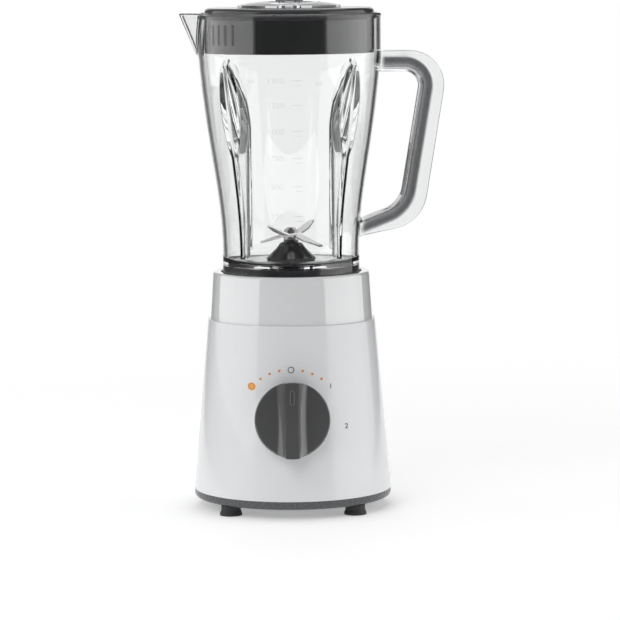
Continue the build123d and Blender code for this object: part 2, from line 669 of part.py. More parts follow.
def stator_core():
    """Laminated stator with a bore, two coil windows and bolt holes."""
    core = fillet(block(STATOR_L, STATOR_W, Z_STATOR, Z_STATOR_TOP).edges().filter_by(Axis.Z), 6)
    core -= rod(STATOR_BORE_R, Z_STATOR - 1, Z_STATOR_TOP + 1)
    for middle in (0, 180):
        core -= sector(WINDOW_R, STATOR_BORE_R - 2, Z_STATOR - 1, Z_STATOR_TOP + 1, middle, WINDOW_ANGLE)
    for x, y in corners_at(BOLT_X, BOLT_Y):
        core -= rod(BOLT_R + BOLT_GAP, Z_STATOR - 1, Z_STATOR_TOP + 1, x, y)
    return core


def field_coils():
    """Two field coils, each round one pole."""
    inner = STATOR_BORE_R + 1.0
    outer = WINDOW_R - COIL_GAP
    span = 90 - 1.5
    pole = 90 - WINDOW_ANGLE + 2.0
    coils = []
    for middle in (90, 270):
        ring = sector(outer, inner, Z_STATOR - COIL_OVERHANG, Z_STATOR_TOP + COIL_OVERHANG, middle, span)
        gap = sector(outer + 2, inner - 2, Z_STATOR - COIL_GAP, Z_STATOR_TOP + COIL_GAP, middle, pole)
        coils.append(ring - gap)
    return coils


def armature_core():
    """Slotted lamination stack on the shaft."""
    radius = STATOR_BORE_R - AIR_GAP
    core = tube(radius, SHAFT_R, Z_STATOR, Z_STATOR_TOP)
    depth = radius - SLOT_ROOT_R
    slot = block(depth + 2, SLOT_W, Z_STATOR - 1, Z_STATOR_TOP + 1, SLOT_ROOT_R + depth / 2 + 1)
    for cut in around(slot, SLOT_COUNT):
        core -= cut
    return core


def armature_windings():
    """Copper end turns joined by the wires that fill the slots."""
    wound = None
    for z_low, z_high in ((Z_STATOR - WINDING_H, Z_STATOR), (Z_STATOR_TOP, Z_STATOR_TOP + WINDING_H)):
        turn = tube(WINDING_R, SHAFT_R + 1.5, z_low, z_high)
        rims = [edge for edge in turn.edges().filter_by(GeomType.CIRCLE) if edge.radius > SHAFT_R + 2]
        turn = fillet(rims, WINDING_ROUND)
        wound = turn if wound is None else wound + turn
    length = WINDING_R - SLOT_ROOT_R - 1.0
    bar = block(length, SLOT_W - 0.4, Z_STATOR - 4, Z_STATOR_TOP + 4, SLOT_ROOT_R + 0.4 + length / 2)
    for wire in around(bar, SLOT_COUNT):
        wound += wire
    return wound


def commutator():
    """Copper commutator with its bar gaps."""
    z_high = Z_STATOR - WINDING_H - 1.5
    z_low = z_high - COMMUTATOR_H
    body = tube(COMMUTATOR_R, SHAFT_R, z_low, z_high)
    body += tube(COMMUTATOR_R + RISER_PROUD, SHAFT_R, z_high - RISER_T, z_high)
    gap = block(2.0, 0.5, z_low - 1, z_high + 1, COMMUTATOR_R + 0.6)
    for cut in around(gap, 2 * SLOT_COUNT):
        body -= cut
    return body


def brush_level():
    """Height of the middle of the brushes."""
    return Z_LOWER_BRACKET + BRACKET_T + HOLDER_WALL + BRUSH_H / 2


def brush(side):
    """Carbon block bearing on the commutator."""
    reach = COMMUTATOR_R + BRUSH_GAP
    z_mid = brush_level()
    block_x = side * (reach - 1 + BRUSH_L / 2)
    body = block(BRUSH_L, BRUSH_W, z_mid - BRUSH_H / 2, z_mid + BRUSH_H / 2, block_x)
    return body - rod(reach, z_mid - BRUSH_H, z_mid + BRUSH_H)


def brush_holder(side):
    """Brass guide of one brush, standing on the lower bracket."""
    z_low = Z_LOWER_BRACKET + BRACKET_T
    length = BRUSH_L - 1
    x = side * (COMMUTATOR_R + 4.5 + length / 2)
    body = block(length, BRUSH_W + 2 * HOLDER_WALL, z_low, z_low + BRUSH_H + 2 * HOLDER_WALL, x)
    channel = block(length + 2, BRUSH_W, z_low + HOLDER_WALL, z_low + HOLDER_WALL + BRUSH_H, x - side * 2.0)
    return body - channel


def motor_bolts():
    """Through bolts that clamp both brackets to the stator."""
    z_low = Z_LOWER_BRACKET
    z_high = Z_UPPER_BRACKET + BRACKET_T
    bolts = []
    for x, y in corners_at(BOLT_X, BOLT_Y):
        head = rod(3.6, z_low - 2.6, z_low, x, y)
        nut = Pos(x, y, z_high) * extrude(RegularPolygon(3.6, 6), 2.6)
        bolts.append(rod(BOLT_R, z_low - 0.5, z_high + 3.0, x, y) + head + nut)
    return bolts


def damper(x, y):
    """Rubber bush in one ear of the upper bracket."""
    z_low = Z_UPPER_BRACKET
    z_high = z_low + BRACKET_T
    body = rod(DAMPER_R, z_low - DAMPER_BELOW, z_low, x, y)
    body += rod(DAMPER_HOLE_R + DAMPER_WALL, z_low - 0.5, z_high + 0.5, x, y)
    body += rod(DAMPER_R, z_high, z_high + DAMPER_H, x, y)
    return body - rod(DAMPER_HOLE_R, z_low - 5, z_high + 10, x, y)


def motor_mount_screws():
    """Screws through the rubber bushes into the housing's posts."""
    z_seat = Z_UPPER_BRACKET - DAMPER_BELOW
    z_tip = Z_UPPER_BRACKET + BRACKET_T + DAMPER_H + 7.0
    screws = []
    for x, y in corners_at(DAMPER_X, DAMPER_Y):
        screws.append(rod(MOUNT_SCREW_R, z_seat - 0.5, z_tip, x, y) + rod(5.0, z_seat - 2.4, z_seat, x, y))
    return screws


def air_baffle():
    """Ring that keeps the outgoing air inside the fan's circle."""
    z_low = FOOT_H + COVER_PLATE
    ring = tube(BAFFLE_R + BAFFLE_T, BAFFLE_R, z_low, Z_FAN_TOP)
    return ring + tube(BAFFLE_R + 1.0, FAN_R + FAN_TIP_GAP, Z_FAN_TOP - 0.5, Z_FAN_TOP + 1.4)


def cooling_fan():
    """Moulded fan with radial blades under a disc."""
    disc = tube(FAN_R, SHAFT_R, Z_FAN_TOP - 1.6, Z_FAN_TOP)
    hub = tube(SHAFT_R + 4.5, SHAFT_R, Z_FAN, Z_FAN_TOP)
    fan = disc + hub
    length = FAN_R - SHAFT_R - 3.0
    blade = block(length, FAN_BLADE_T, Z_FAN, Z_FAN_TOP - 1.0, FAN_R - 0.5 - length / 2)
    for wing in around(blade, FAN_BLADES):
        fan += wing
    return fan


def motor_shaft():
    """Steel shaft from below the fan to the drive coupler."""
    return rod(SHAFT_R, Z_FAN - 1.0, Z_MESH + 0.6)


def coupler(z_disc, z_lugs, turned_by):
    """Coupler disc with a ring of drive lugs."""
    body = tube(COUPLER_R, SHAFT_R, z_disc, z_disc + COUPLER_DISC)
    half = (180.0 / COUPLER_LUGS - COUPLER_BACKLASH) / 2
    z_from = min(z_lugs, z_disc + 0.5)
    z_to = max(z_lugs + COUPLER_MESH, z_disc + COUPLER_DISC - 0.5)
    lug = sector(COUPLER_R - COUPLER_LUG_INSET, COUPLER_LUG_R, z_from, z_to, turned_by, half)
    for part in around(lug, COUPLER_LUGS):
        body += part
    return body


def drive_coupler():
    """Coupler on the motor shaft, lugs up."""
    return coupler(Z_DRIVE_COUPLER, Z_MESH, 0)


def driven_coupler():
    """Coupler on the blade shaft, lugs down between the drive lugs."""
    return coupler(Z_DRIVEN_COUPLER, Z_DRIVEN_COUPLER - COUPLER_MESH, 180.0 / COUPLER_LUGS)


def shaft_seal():
    """Rubber seal where the motor shaft comes up through the well floor."""
    body = tube(SHAFT_HOLE_R, SHAFT_R + SEAL_GAP, Z_WELL_UNDER, Z_WELL)
    return body + tube(SHAFT_HOLE_R + 2.5, SHAFT_R + 2, Z_WELL_UNDER - 1.6, Z_WELL_UNDER)


# ---------------------------------------------------------------- dial and switch
def grip_section(y, top_half, root_half):
    """Cross-section of the ridge: flat top, hollow flanks that run out onto the disc."""
    low = KNOB_FACE - 0.4
    left_root = (-root_half, y, low)
    left_top = (-top_half, y, GRIP_TOP)
    right_top = (top_half, y, GRIP_TOP)
    right_root = (root_half, y, low)
    hollow = 0.32 * (root_half - top_half)
    bulge_x = (root_half + top_half) / 2 - hollow
    bulge_z = (low + GRIP_TOP) / 2 - hollow
    left_flank = ThreePointArc(left_root, (-bulge_x, y, bulge_z), left_top)
    right_flank = ThreePointArc(right_top, (bulge_x, y, bulge_z), right_root)
    return make_face([left_flank, Line(left_top, right_top), right_flank, Line(right_root, left_root)])


def speed_knob():
    """Round dial with a waisted grip ridge and a pill-shaped pointer recess."""
    disc = stud(KNOB_R, KNOB_DISC_T, KNOB_BACK)
    disc = fillet(disc.edges().group_by(Axis.Z)[-1], KNOB_EDGE_ROUND)
    places = (KNOB_R + 2, 0, -KNOB_R - 2)
    sections = [grip_section(y, t, r) for y, t, r in zip(places, GRIP_TOP_HALF, GRIP_ROOT_HALF)]
    ridge = loft(sections)
    knob = disc + (ridge & stud(KNOB_R, GRIP_H + 10, KNOB_FACE - 2))
    knob -= stud(KNOB_R - KNOB_WALL, KNOB_DISC_T - KNOB_WALL + 1, KNOB_BACK - 1)
    hollow_w = 2 * (min(GRIP_TOP_HALF) - KNOB_WALL)
    knob -= slab(hollow_w, 1.5 * KNOB_R, GRIP_TOP - KNOB_WALL - KNOB_BACK + 1, KNOB_BACK - 1)
    knob += stud(KNOB_HUB_R, SPINDLE_IN_KNOB + KNOB_HUB_END, KNOB_BACK)
    knob -= stud(SPINDLE_R, SPINDLE_IN_KNOB + 1, KNOB_BACK - 1)
    pill = Pos(0, POINTER_TOP - POINTER_L / 2, GRIP_TOP - POINTER_D) * extrude(
        SlotOverall(POINTER_L, POINTER_W, rotation=90), POINTER_D + 1
    )
    return DIAL_PLANE * (knob - pill)


def knob_spindle():
    """Spindle from the rotary switch into the knob's hub."""
    low = DIAL_INNER - SWITCH_T + SWITCH_FLOOR + 0.5
    return DIAL_PLANE * stud(SPINDLE_R, KNOB_BACK + SPINDLE_IN_KNOB - low, low)


def rotary_switch():
    """Speed and pulse switch behind the dial pad."""
    low = DIAL_INNER - SWITCH_T
    body = slab(SWITCH_L, SWITCH_W, SWITCH_T, low)
    body = fillet(body.edges().filter_by(Axis.Z), SWITCH_CORNER_R)
    body -= stud(SPINDLE_R + SPINDLE_GAP, SWITCH_T, low + SWITCH_FLOOR)
    for k in range(TAB_COUNT):
        body += slab(TAB_W, TAB_T, TAB_L + 0.2, low - TAB_L, TAB_PITCH * (k - (TAB_COUNT - 1) / 2))
    return DIAL_PLANE * body


def cord_gland():
    """Rubber bush in the housing's back wall that the mains cord passes through."""
    wall = housing_radius(Z_GLAND) + GLAND_PAD_PROUD
    body = gland_rod(GLAND_R, wall - GLAND_INNER_L, wall + 0.5)
    body += gland_rod(GLAND_FLANGE_R, wall, wall + GLAND_FLANGE_T)
    body -= gland_rod(GLAND_BORE_R, wall - 30, wall + 30)
    return body


def gland_nut():
    """Ring that holds the cord gland from inside."""
    inner_face = inner_radius(Z_GLAND + GLAND_PAD_R) - 1.4
    return gland_rod(GLAND_FLANGE_R + 1.5, inner_face - 2.6, inner_face) - gland_rod(GLAND_R, 0, 100)


def suppression_capacitor():
    """Film capacitor standing on the bottom cover behind the motor."""
    length, width, height = CAPACITOR_SIZE
    z_low = FOOT_H + COVER_PLATE
    body = block(length, width, z_low, z_low + height, *CAPACITOR_PLACE)
    return fillet(body.edges().filter_by(Axis.Z), 1.5)


# ---------------------------------------------------------------- interlock
def interlock_pin():
    """Pin that the goblet's skirt pushes down to free the switch."""
    z_flange = Z_WELL - WELL_FLOOR - PIN_RISE - PIN_FLANGE_T - 0.5
    z_low = Z_WELL - PIN_BOSS_H - WELL_FLOOR - 1.0
    pin = rod(PIN_R, z_flange, Z_WELL - 0.05, 0, PIN_RADIUS)
    pin += rod(PIN_FLANGE_R, z_flange, z_flange + PIN_FLANGE_T, 0, PIN_RADIUS)
    return pin + rod(PIN_STEM_R, z_low, z_flange + 0.5, 0, PIN_RADIUS)


def interlock_spring():
    """Coil spring under the pin's flange."""
    z_low = Z_WELL - PIN_BOSS_H - WELL_FLOOR + PIN_SPRING_WIRE_R
    z_high = Z_WELL - WELL_FLOOR - PIN_RISE - PIN_FLANGE_T - 0.5 - PIN_SPRING_WIRE_R
    radius = (PIN_STEM_R + PIN_FLANGE_R) / 2
    path = Helix((z_high - z_low) / PIN_SPRING_TURNS, z_high - z_low, radius)
    start = Plane(origin=path @ 0, z_dir=path % 0)
    return Pos(0, PIN_RADIUS, z_low) * sweep(start * Circle(PIN_SPRING_WIRE_R), path=path)


def interlock_switch():
    """Microswitch under the pin's boss."""
    length, width, height = MICROSWITCH
    z_high = Z_WELL - PIN_BOSS_H - WELL_FLOOR
    body = block(length, width, z_high - height, z_high, 0, PIN_RADIUS)
    body -= rod(PIN_STEM_R + 0.3, z_high - 1.5, z_high + 1, 0, PIN_RADIUS)
    for x in (-7, 0, 7):
        body += block(3.0, 0.8, z_high - height - 5, z_high - height + 0.5, x, PIN_RADIUS)
    return body


# ---------------------------------------------------------------- goblet
def flare_points(inset):
    """Control points of the flared wall, moved inwards by an inset."""
    return [
        (SKIRT_R - inset, Z_FLARE),
        (SKIRT_R - inset, Z_FLARE + FLARE_PULL_LOW),
        (NECK_R - FLARE_SLOPE * FLARE_PULL_HIGH - inset, Z_BAND - FLARE_PULL_HIGH),
        (NECK_R - inset, Z_BAND),
    ]


def flare_at(t, inset):
    """Radius and height of the flared wall at a share t of the curve."""
    weights = ((1 - t) ** 3, 3 * t * (1 - t) ** 2, 3 * t * t * (1 - t), t ** 3)
    points = flare_points(inset)
    return tuple(sum(w * p[k] for w, p in zip(weights, points)) for k in (0, 1))


def flared_body(inset, z_low, z_high):
    """Solid inside the goblet's wall, or its outside with no inset."""
    low_edge = (SKIRT_R - inset, 0, z_low)
    flare = Bezier(*[(r, 0, z) for r, z in flare_points(inset)])
    low = Polyline((0, 0, z_low), low_edge, (SKIRT_R - inset, 0, Z_FLARE))
    rim = RIM_R - inset
    high = Polyline((NECK_R - inset, 0, Z_BAND), (rim, 0, Z_BAND + 1.5), (rim, 0, z_high), (0, 0, z_high))
    return revolve(make_face([low, flare, high, Line((0, 0, z_high), (0, 0, z_low))]), axis=Axis.Z)


def spout_section(z, reach, half_angle, inset):
    """Plan section of the spout at one height: a blunt nose with sides from the wall."""
    side = RIM_R - 2.0 - inset
    x_side, y_side = polar(side, half_angle)
    nose = reach - inset
    corners = (
        (-x_side, -y_side, z),
        (-nose, -SPOUT_NOSE, z),
        (-nose, SPOUT_NOSE, z),
        (-x_side, y_side, z),
        (-side + 20, 0, z),
    )
    return make_face(Polyline(*corners, close=True))


def spout(inset, z_high):
    """Pouring spout, or the hollow in it when inset."""
    share = (z_high - Z_RIM) / SPOUT_BELOW_TIP
    reach = SPOUT_REACH + share * (SPOUT_REACH - SPOUT_ROOT_REACH)
    root = spout_section(Z_RIM - SPOUT_BELOW_TIP, SPOUT_ROOT_REACH, SPOUT_ROOT_ANGLE, inset)
    tip = spout_section(z_high, reach, SPOUT_HALF_ANGLE, inset)
    return loft([root, tip], ruled=True)


def leaf_share(t):
    """How wide the rib's leaf is at a share t of the flare: 0 on the stem, 1 at its widest."""
    if t < RIB_LEAF_START:
        return 0.0
    return sin(pi * (t - RIB_LEAF_START) / (1.06 - RIB_LEAF_START)) ** 0.8


def rib_shape(t):
    """Wall radius, height, crest radius and half width of a rib at a share t of the flare."""
    wall, z = flare_at(t, GOBLET_WALL)
    rise = max(0.0, (t - 0.7) / (RIB_END - 0.7)) ** 2
    crest = RIB_CREST_R + (wall - 0.8 - RIB_CREST_R) * rise
    half = RIB_STEM_HALF + (RIB_LEAF_HALF - RIB_STEM_HALF) * leaf_share(t)
    return wall, z, crest, half


def rib_levels():
    """Shares of the flare at which the ribs' sections stand."""
    return [RIB_START + (RIB_END - RIB_START) * k / (RIB_LEVELS - 1) for k in range(RIB_LEVELS)]


def rib():
    """One inward rib of the wall, on the +X side, before it is turned to its place."""
    sections = []
    for t in rib_levels():
        wall, z, crest, half = rib_shape(t)
        root = wall + GOBLET_WALL / 2
        corners = ((crest, -RIB_NOSE_HALF, z), (root, -half, z), (root, half, z), (crest, RIB_NOSE_HALF, z))
        sections.append(make_face(Polyline(*corners, close=True)))
    return loft(sections, ruled=True)


def rib_groove():
    """Groove in the outside of the wall behind a rib."""
    sections = []
    for t in rib_levels():
        wall, z, crest, half = rib_shape(t)
        mouth = wall + GOBLET_WALL + 2
        nose = min(crest + GROOVE_WALL, wall + GOBLET_WALL - 0.6)
        corners = (
            (nose, -GROOVE_NOSE_HALF, z),
            (mouth, -GROOVE_MOUTH_HALF, z),
            (mouth, GROOVE_MOUTH_HALF, z),
            (nose, GROOVE_NOSE_HALF, z),
        )
        sections.append(make_face(Polyline(*corners, close=True)))
    return loft(sections, ruled=True)


def handle_corners(outs, z_high, z_low, z_end):
    """Corners of a handle contour in the X-Z plane, from the wall round to the wall."""
    start = (NECK_R - GOBLET_WALL, z_high)
    end = (SKIRT_R - HANDLE_ROOT_IN, z_end)
    return [start, (NECK_R + outs[0], z_high), (NECK_R + outs[1], z_low), end]


def moved_out(corners, distance):
    """A contour moved sideways by a distance, away from the hand opening."""
    normals = []
    for (x0, z0), (x1, z1) in zip(corners, corners[1:]):
        length = hypot(x1 - x0, z1 - z0)
        normals.append((-(z1 - z0) / length, (x1 - x0) / length))
    result = [(corners[0][0] + distance * normals[0][0], corners[0][1] + distance * normals[0][1])]
    for (x, z), (ax, az), (bx, bz) in zip(corners[1:], normals, normals[1:]):
        scale = distance / (1 + ax * bx + az * bz)
        result.append((x + scale * (ax + bx), z + scale * (az + bz)))
    x, z = corners[-1]
    result.append((x + distance * normals[-1][0], z + distance * normals[-1][1]))
    return result


def contour(corners, bends):
    """Open line through the corners with its bends rounded."""
    return FilletPolyline(*[(x, 0, z) for x, z in corners], radius=list(bends))


def on_contour(solid, line, half_width):
    """Edges of an extruded solid that lie beside a contour line."""
    return [edge for edge in solid.edges() if abs(line.distance_to(edge @ 0.5) - half_width) < 0.02
            and abs(abs((edge @ 0.5).Y) - half_width) < 0.02]


def handle():
    """Handle as a channel that opens outwards, with its ends run into the wall."""
    outer_corners = handle_corners(
        HANDLE_OUTER_OUT, Z_HANDLE, Z_HANDLE_FOOT + HANDLE_OUTER_LOW, Z_HANDLE_FOOT
    )
    inner_corners = handle_corners(
        HANDLE_INNER_OUT, Z_HANDLE - HANDLE_INNER_DROP,
        Z_HANDLE_FOOT + HANDLE_INNER_LOW, Z_HANDLE_FOOT + HANDLE_INNER_END
    )
    outer = contour(outer_corners, HANDLE_OUTER_BENDS)
    inner = contour(inner_corners, HANDLE_INNER_BENDS)
    face = make_face([outer, Line(outer @ 1, inner @ 1), inner, Line(inner @ 0, outer @ 0)])
    bar = extrude(face, HANDLE_W / 2, both=True)
    bar = fillet(on_contour(bar, inner, HANDLE_W / 2), HANDLE_FINGER_R)

    floor_corners = moved_out(inner_corners, HANDLE_FLOOR)
    floor_bends = [bend + HANDLE_FLOOR for bend in HANDLE_INNER_BENDS]
    floor = contour(floor_corners, floor_bends)
    far = HANDLE_REACH + 20
    surround = Polyline(
        floor @ 1,
        ((floor @ 1).X, 0, (floor @ 1).Z - 30),
        (far, 0, (floor @ 1).Z - 30),
        (far, 0, Z_HANDLE + 20),
        ((floor @ 0).X, 0, Z_HANDLE + 20),
        floor @ 0,
    )
    half = HANDLE_W / 2 - HANDLE_WALL
    channel = extrude(make_face([floor, surround]), half, both=True)
    channel = fillet(on_contour(channel, floor, half), CHANNEL_ROUND)
    return bar - channel


def goblet_handle():
    """Handle, joined to the outside of the goblet's wall at both ends."""
    return handle() - flared_body(0, Z_WELL, Z_RIM)


def goblet():
    """Clear goblet: flared wall with ribs, spout, floor and base skirt."""
    body = flared_body(0, Z_WELL, Z_RIM)
    body += spout(0, Z_RIM)
    inside = flared_body(GOBLET_WALL, Z_FLOOR, Z_RIM + 1)
    inside = rounded_at(inside, Z_FLOOR, SKIRT_R - GOBLET_WALL, FLOOR_CORNER_R)
    one_rib = rib()
    one_groove = rib_groove()
    for angle in RIB_ANGLES:
        inside -= Rot(0, 0, angle) * one_rib
    inside += spout(GOBLET_WALL * 0.9, Z_RIM + 1)
    body -= inside
    for angle in RIB_ANGLES:
        body -= Rot(0, 0, angle) * one_groove
    body -= rod(SKIRT_R - GOBLET_WALL, Z_WELL - 1, Z_FLOOR_UNDER)
    body -= rod(CARRIER_STUB_R + CARRIER_STUB_GAP, Z_FLOOR_UNDER - 1, Z_FLOOR + 1)
    return body


def goblet_base_ring():
    """Dark ring inside the skirt, under the goblet's floor."""
    z_low = Z_WELL + BASE_RING_FOOT
    ring = tube(BASE_RING_OUTER, BASE_RING_INNER, z_low, Z_FLOOR_UNDER)
    lug = block(BASE_LUG_T, BASE_LUG_W, z_low, z_low + BASE_LUG_H, BASE_RING_INNER)
    for part in around(lug, 4, 45.0):
        ring += part
    return ring


def blade_carrier():
    """Bell-shaped bearing housing on the goblet's floor with a stub through it."""
    z_shoulder = Z_CARRIER + CARRIER_SHOULDER_H
    flange_edge = (CARRIER_FLANGE_R, 0, Z_CARRIER + CARRIER_FLANGE_T)
    shoulder = (CARRIER_SHOULDER_R, 0, z_shoulder)
    middle = (
        (CARRIER_FLANGE_R + CARRIER_SHOULDER_R) / 2 - CARRIER_DISH, 0,
        (Z_CARRIER + CARRIER_FLANGE_T + z_shoulder) / 2 - CARRIER_DISH,
    )
    flank = ThreePointArc(flange_edge, middle, shoulder)
    neck_foot = (CARRIER_NECK_R, 0, z_shoulder + 2.2)
    crown = ThreePointArc(shoulder, (CARRIER_NECK_R + 2.4, 0, z_shoulder + 1.7), neck_foot)
    rest = Polyline(
        neck_foot, (CARRIER_NECK_R, 0, Z_NECK), (0, 0, Z_NECK),
        (0, 0, Z_CARRIER), (CARRIER_FLANGE_R, 0, Z_CARRIER), flange_edge,
    )
    body = revolve(make_face([flank, crown, rest]), axis=Axis.Z)
    body += rod(CARRIER_STUB_R, Z_STUB, Z_CARRIER + 0.5)
    body -= rod(LIP_SEAL_R, Z_CARRIER, Z_NECK + 1)
    body -= rod(CARRIER_BORE_R, Z_STUB - 1, Z_NECK - LIP_SEAL_T - LIP_SEAL_LAND)
    return body


def carrier_seal():
    """Ring seal between the carrier and the goblet's floor."""
    return tube(CARRIER_FLANGE_R - 0.8, CARRIER_STUB_R, Z_FLOOR, Z_CARRIER)


def carrier_nut():
    """Eight-sided ring nut that clamps the carrier from under the floor."""
    z_low = Z_FLOOR_UNDER - CARRIER_NUT_T
    flats = Pos(0, 0, z_low) * extrude(RegularPolygon(CARRIER_NUT_R, 8), CARRIER_NUT_T)
    return flats - rod(CARRIER_STUB_R, z_low - 1, Z_FLOOR_UNDER + 1)


def blade_bushing():
    """Sintered bushing that the blade shaft runs in."""
    return tube(CARRIER_BORE_R, SHAFT_R + BUSHING_GAP, Z_STUB, Z_NECK - LIP_SEAL_T - LIP_SEAL_LAND)


def blade_shaft():
    """Blade shaft from the driven coupler to the blade nut, reduced above the bushing."""
    z_step = Z_NECK - LIP_SEAL_T - LIP_SEAL_LAND - 0.5
    return rod(SHAFT_R, Z_DRIVEN_COUPLER, z_step) + rod(JOURNAL_R, z_step - 0.5, Z_BLADES + BLADE_SHAFT_TOP)


def shaft_lip_seal():
    """Lip seal round the shaft in the top of the carrier."""
    return tube(LIP_SEAL_R, JOURNAL_R + LIP_SEAL_GAP, Z_NECK - LIP_SEAL_T, Z_NECK)


def blade(rise, z_low, angle):
    """Two-armed blade with its arms bent up or down and tapered to the tips."""
    hub_half = BLADE_HUB_L / 2
    run = BLADE_REACH - hub_half
    tilt = degrees(atan2(rise, run))
    length = hypot(run, rise)
    plate = block(BLADE_HUB_L, BLADE_W, z_low, z_low + BLADE_T)
    arm_outline = make_face(Polyline(
        (-0.6, -BLADE_W / 2), (0.35 * length, -BLADE_W / 2), (length, BLADE_W / 2 - BLADE_TIP_W),
        (length, BLADE_W / 2), (-0.6, BLADE_W / 2), close=True,
    ))
    arm = extrude(arm_outline, BLADE_T)
    bevel = Pos(0, -BLADE_W / 2, BLADE_T) * Rot(38, 0, 0) * Box(4 * length, 1.5, 3.0)
    arm -= bevel
    for side in (0, 180):
        plate += Rot(0, 0, side) * Pos(hub_half, 0, z_low) * Rot(0, -tilt, 0) * arm
    plate -= rod(JOURNAL_R, z_low - 5, z_low + 5)
    return Rot(0, 0, angle) * plate


def lower_blade():
    """Blade with its arms bent down."""
    return blade(-BLADE_DOWN, Z_BLADES - BLADE_T, LOWER_BLADE_ANGLE)


def upper_blade():
    """Blade with its arms bent up, resting on the lower blade."""
    return blade(BLADE_UP, Z_BLADES, UPPER_BLADE_ANGLE)


def blade_washers():
    """Washer under the blades and thrust washer over the driven coupler."""
    upper = tube(JOURNAL_R + 2.4, JOURNAL_R, Z_NECK + 0.4, Z_BLADES - BLADE_T)
    z_low = Z_DRIVEN_COUPLER + COUPLER_DISC
    lower = tube(SHAFT_R + 3.5, SHAFT_R, z_low, z_low + THRUST_WASHER_T)
    return [upper, lower]


def blade_nut():
    """Domed nut that holds the blades down."""
    z_low = Z_BLADES + BLADE_T
    nut = Pos(0, 0, z_low) * extrude(RegularPolygon(BLADE_NUT_R, 6), BLADE_NUT_H - 0.8)
    nut += rod(BLADE_NUT_R - 1.4, z_low, z_low + BLADE_NUT_H)
    return nut - rod(JOURNAL_R, z_low - 1, Z_BLADES + BLADE_SHAFT_TOP)


# ---------------------------------------------------------------- lid and cap
def lid():
    """Dark lid: skirt with strainer slots, flat top and a collar round the filler opening."""
    z_skirt = Z_RIM - LID_SKIRT_DEPTH
    body = turned(
        (LID_SKIRT_R, z_skirt),
        (LID_SKIRT_R, Z_LID_TOP),
        (LID_OPENING_R, Z_LID_TOP),
        (LID_OPENING_R, Z_LID_TOP - LID_COLLAR_DEPTH),
        (LID_OPENING_R + LID_COLLAR_T, Z_LID_TOP - LID_COLLAR_DEPTH),
        (LID_OPENING_R + LID_COLLAR_T, Z_LID_TOP - LID_TOP_T),
        (LID_SKIRT_R - LID_SKIRT_T, Z_LID_TOP - LID_TOP_T),
        (LID_SKIRT_R - LID_SKIRT_T, z_skirt),
    )
    body = rounded_at(body, Z_LID_TOP, LID_SKIRT_R, LID_EDGE_ROUND)
    z_slot = Z_RIM - STRAINER_SLOT_DROP
    slot = block(12, STRAINER_SLOT_W, z_slot - STRAINER_SLOT_H, z_slot, LID_SKIRT_R)
    for k in range(STRAINER_SLOTS):
        body -= Rot(0, 0, 180 + STRAINER_PITCH * (k - (STRAINER_SLOTS - 1) / 2)) * slot
    z_seal = Z_RIM - LID_SEAL_DROP
    body -= tube(LID_SKIRT_R + 1, LID_SKIRT_R - LID_SEAL_SEAT, z_seal, z_seal + LID_SEAL_T)
    return body


def lid_seal():
    """Sealing ring in the lid's groove."""
    z_low = Z_RIM - LID_SEAL_DROP
    return turned(
        (LID_SKIRT_R - LID_SEAL_SEAT, z_low),
        (LID_SKIRT_R + 0.6, z_low),
        (LID_BORE_R - LID_SEAL_GAP, z_low + 1.2),
        (LID_BORE_R - LID_SEAL_GAP, z_low + LID_SEAL_T - 0.8),
        (LID_SKIRT_R + 0.6, z_low + LID_SEAL_T),
        (LID_SKIRT_R - LID_SEAL_SEAT, z_low + LID_SEAL_T),
    )


def filler_cap():
    """Clear cap: flange, shallow dome with a finger recess, grip and measuring cup below."""
    z_flange = Z_LID_TOP + CAP_RISE
    z_edge = z_flange + CAP_FLANGE_T
    z_dome = z_flange + CAP_DOME_H
    z_grip = z_dome + CAP_GRIP_H
    dome = ThreePointArc(
        (CAP_FLANGE_R, 0, z_edge),
        ((CAP_FLANGE_R + CAP_GRIP_R) / 2 + 3, 0, z_edge + (z_dome - z_edge) * 0.72),
        (CAP_GRIP_R, 0, z_dome),
    )
    cup_low = z_flange - CAP_CUP_DEPTH
    rest = Polyline(
        (CAP_GRIP_R, 0, z_dome), (CAP_GRIP_TOP_R, 0, z_grip), (0, 0, z_grip),
        (0, 0, z_flange), (CAP_CUP_R - CAP_CUP_WALL, 0, z_flange),
        (CAP_CUP_R - CAP_CUP_WALL - CAP_CUP_TAPER, 0, cup_low), (CAP_CUP_R - CAP_CUP_TAPER, 0, cup_low),
        (CAP_CUP_R, 0, z_flange), (CAP_FLANGE_R, 0, z_flange), (CAP_FLANGE_R, 0, z_edge),
    )
    cap = revolve(make_face([dome, rest]), axis=Axis.Z)
    cap = rounded_at(cap, z_grip, CAP_GRIP_TOP_R, 1.6)
    cap -= rod(CAP_GRIP_TOP_R - 2.4, z_flange - 1, z_grip - 2.4)
    dish = turned(
        (CAP_DISH_R_IN, z_dome + 2), (CAP_DISH_R_IN + 1.2, z_dome - CAP_DISH_D),
        (CAP_DISH_R_OUT - 2.5, z_dome - CAP_DISH_D), (CAP_DISH_R_OUT, z_dome + 2),
    )
    return cap - dish


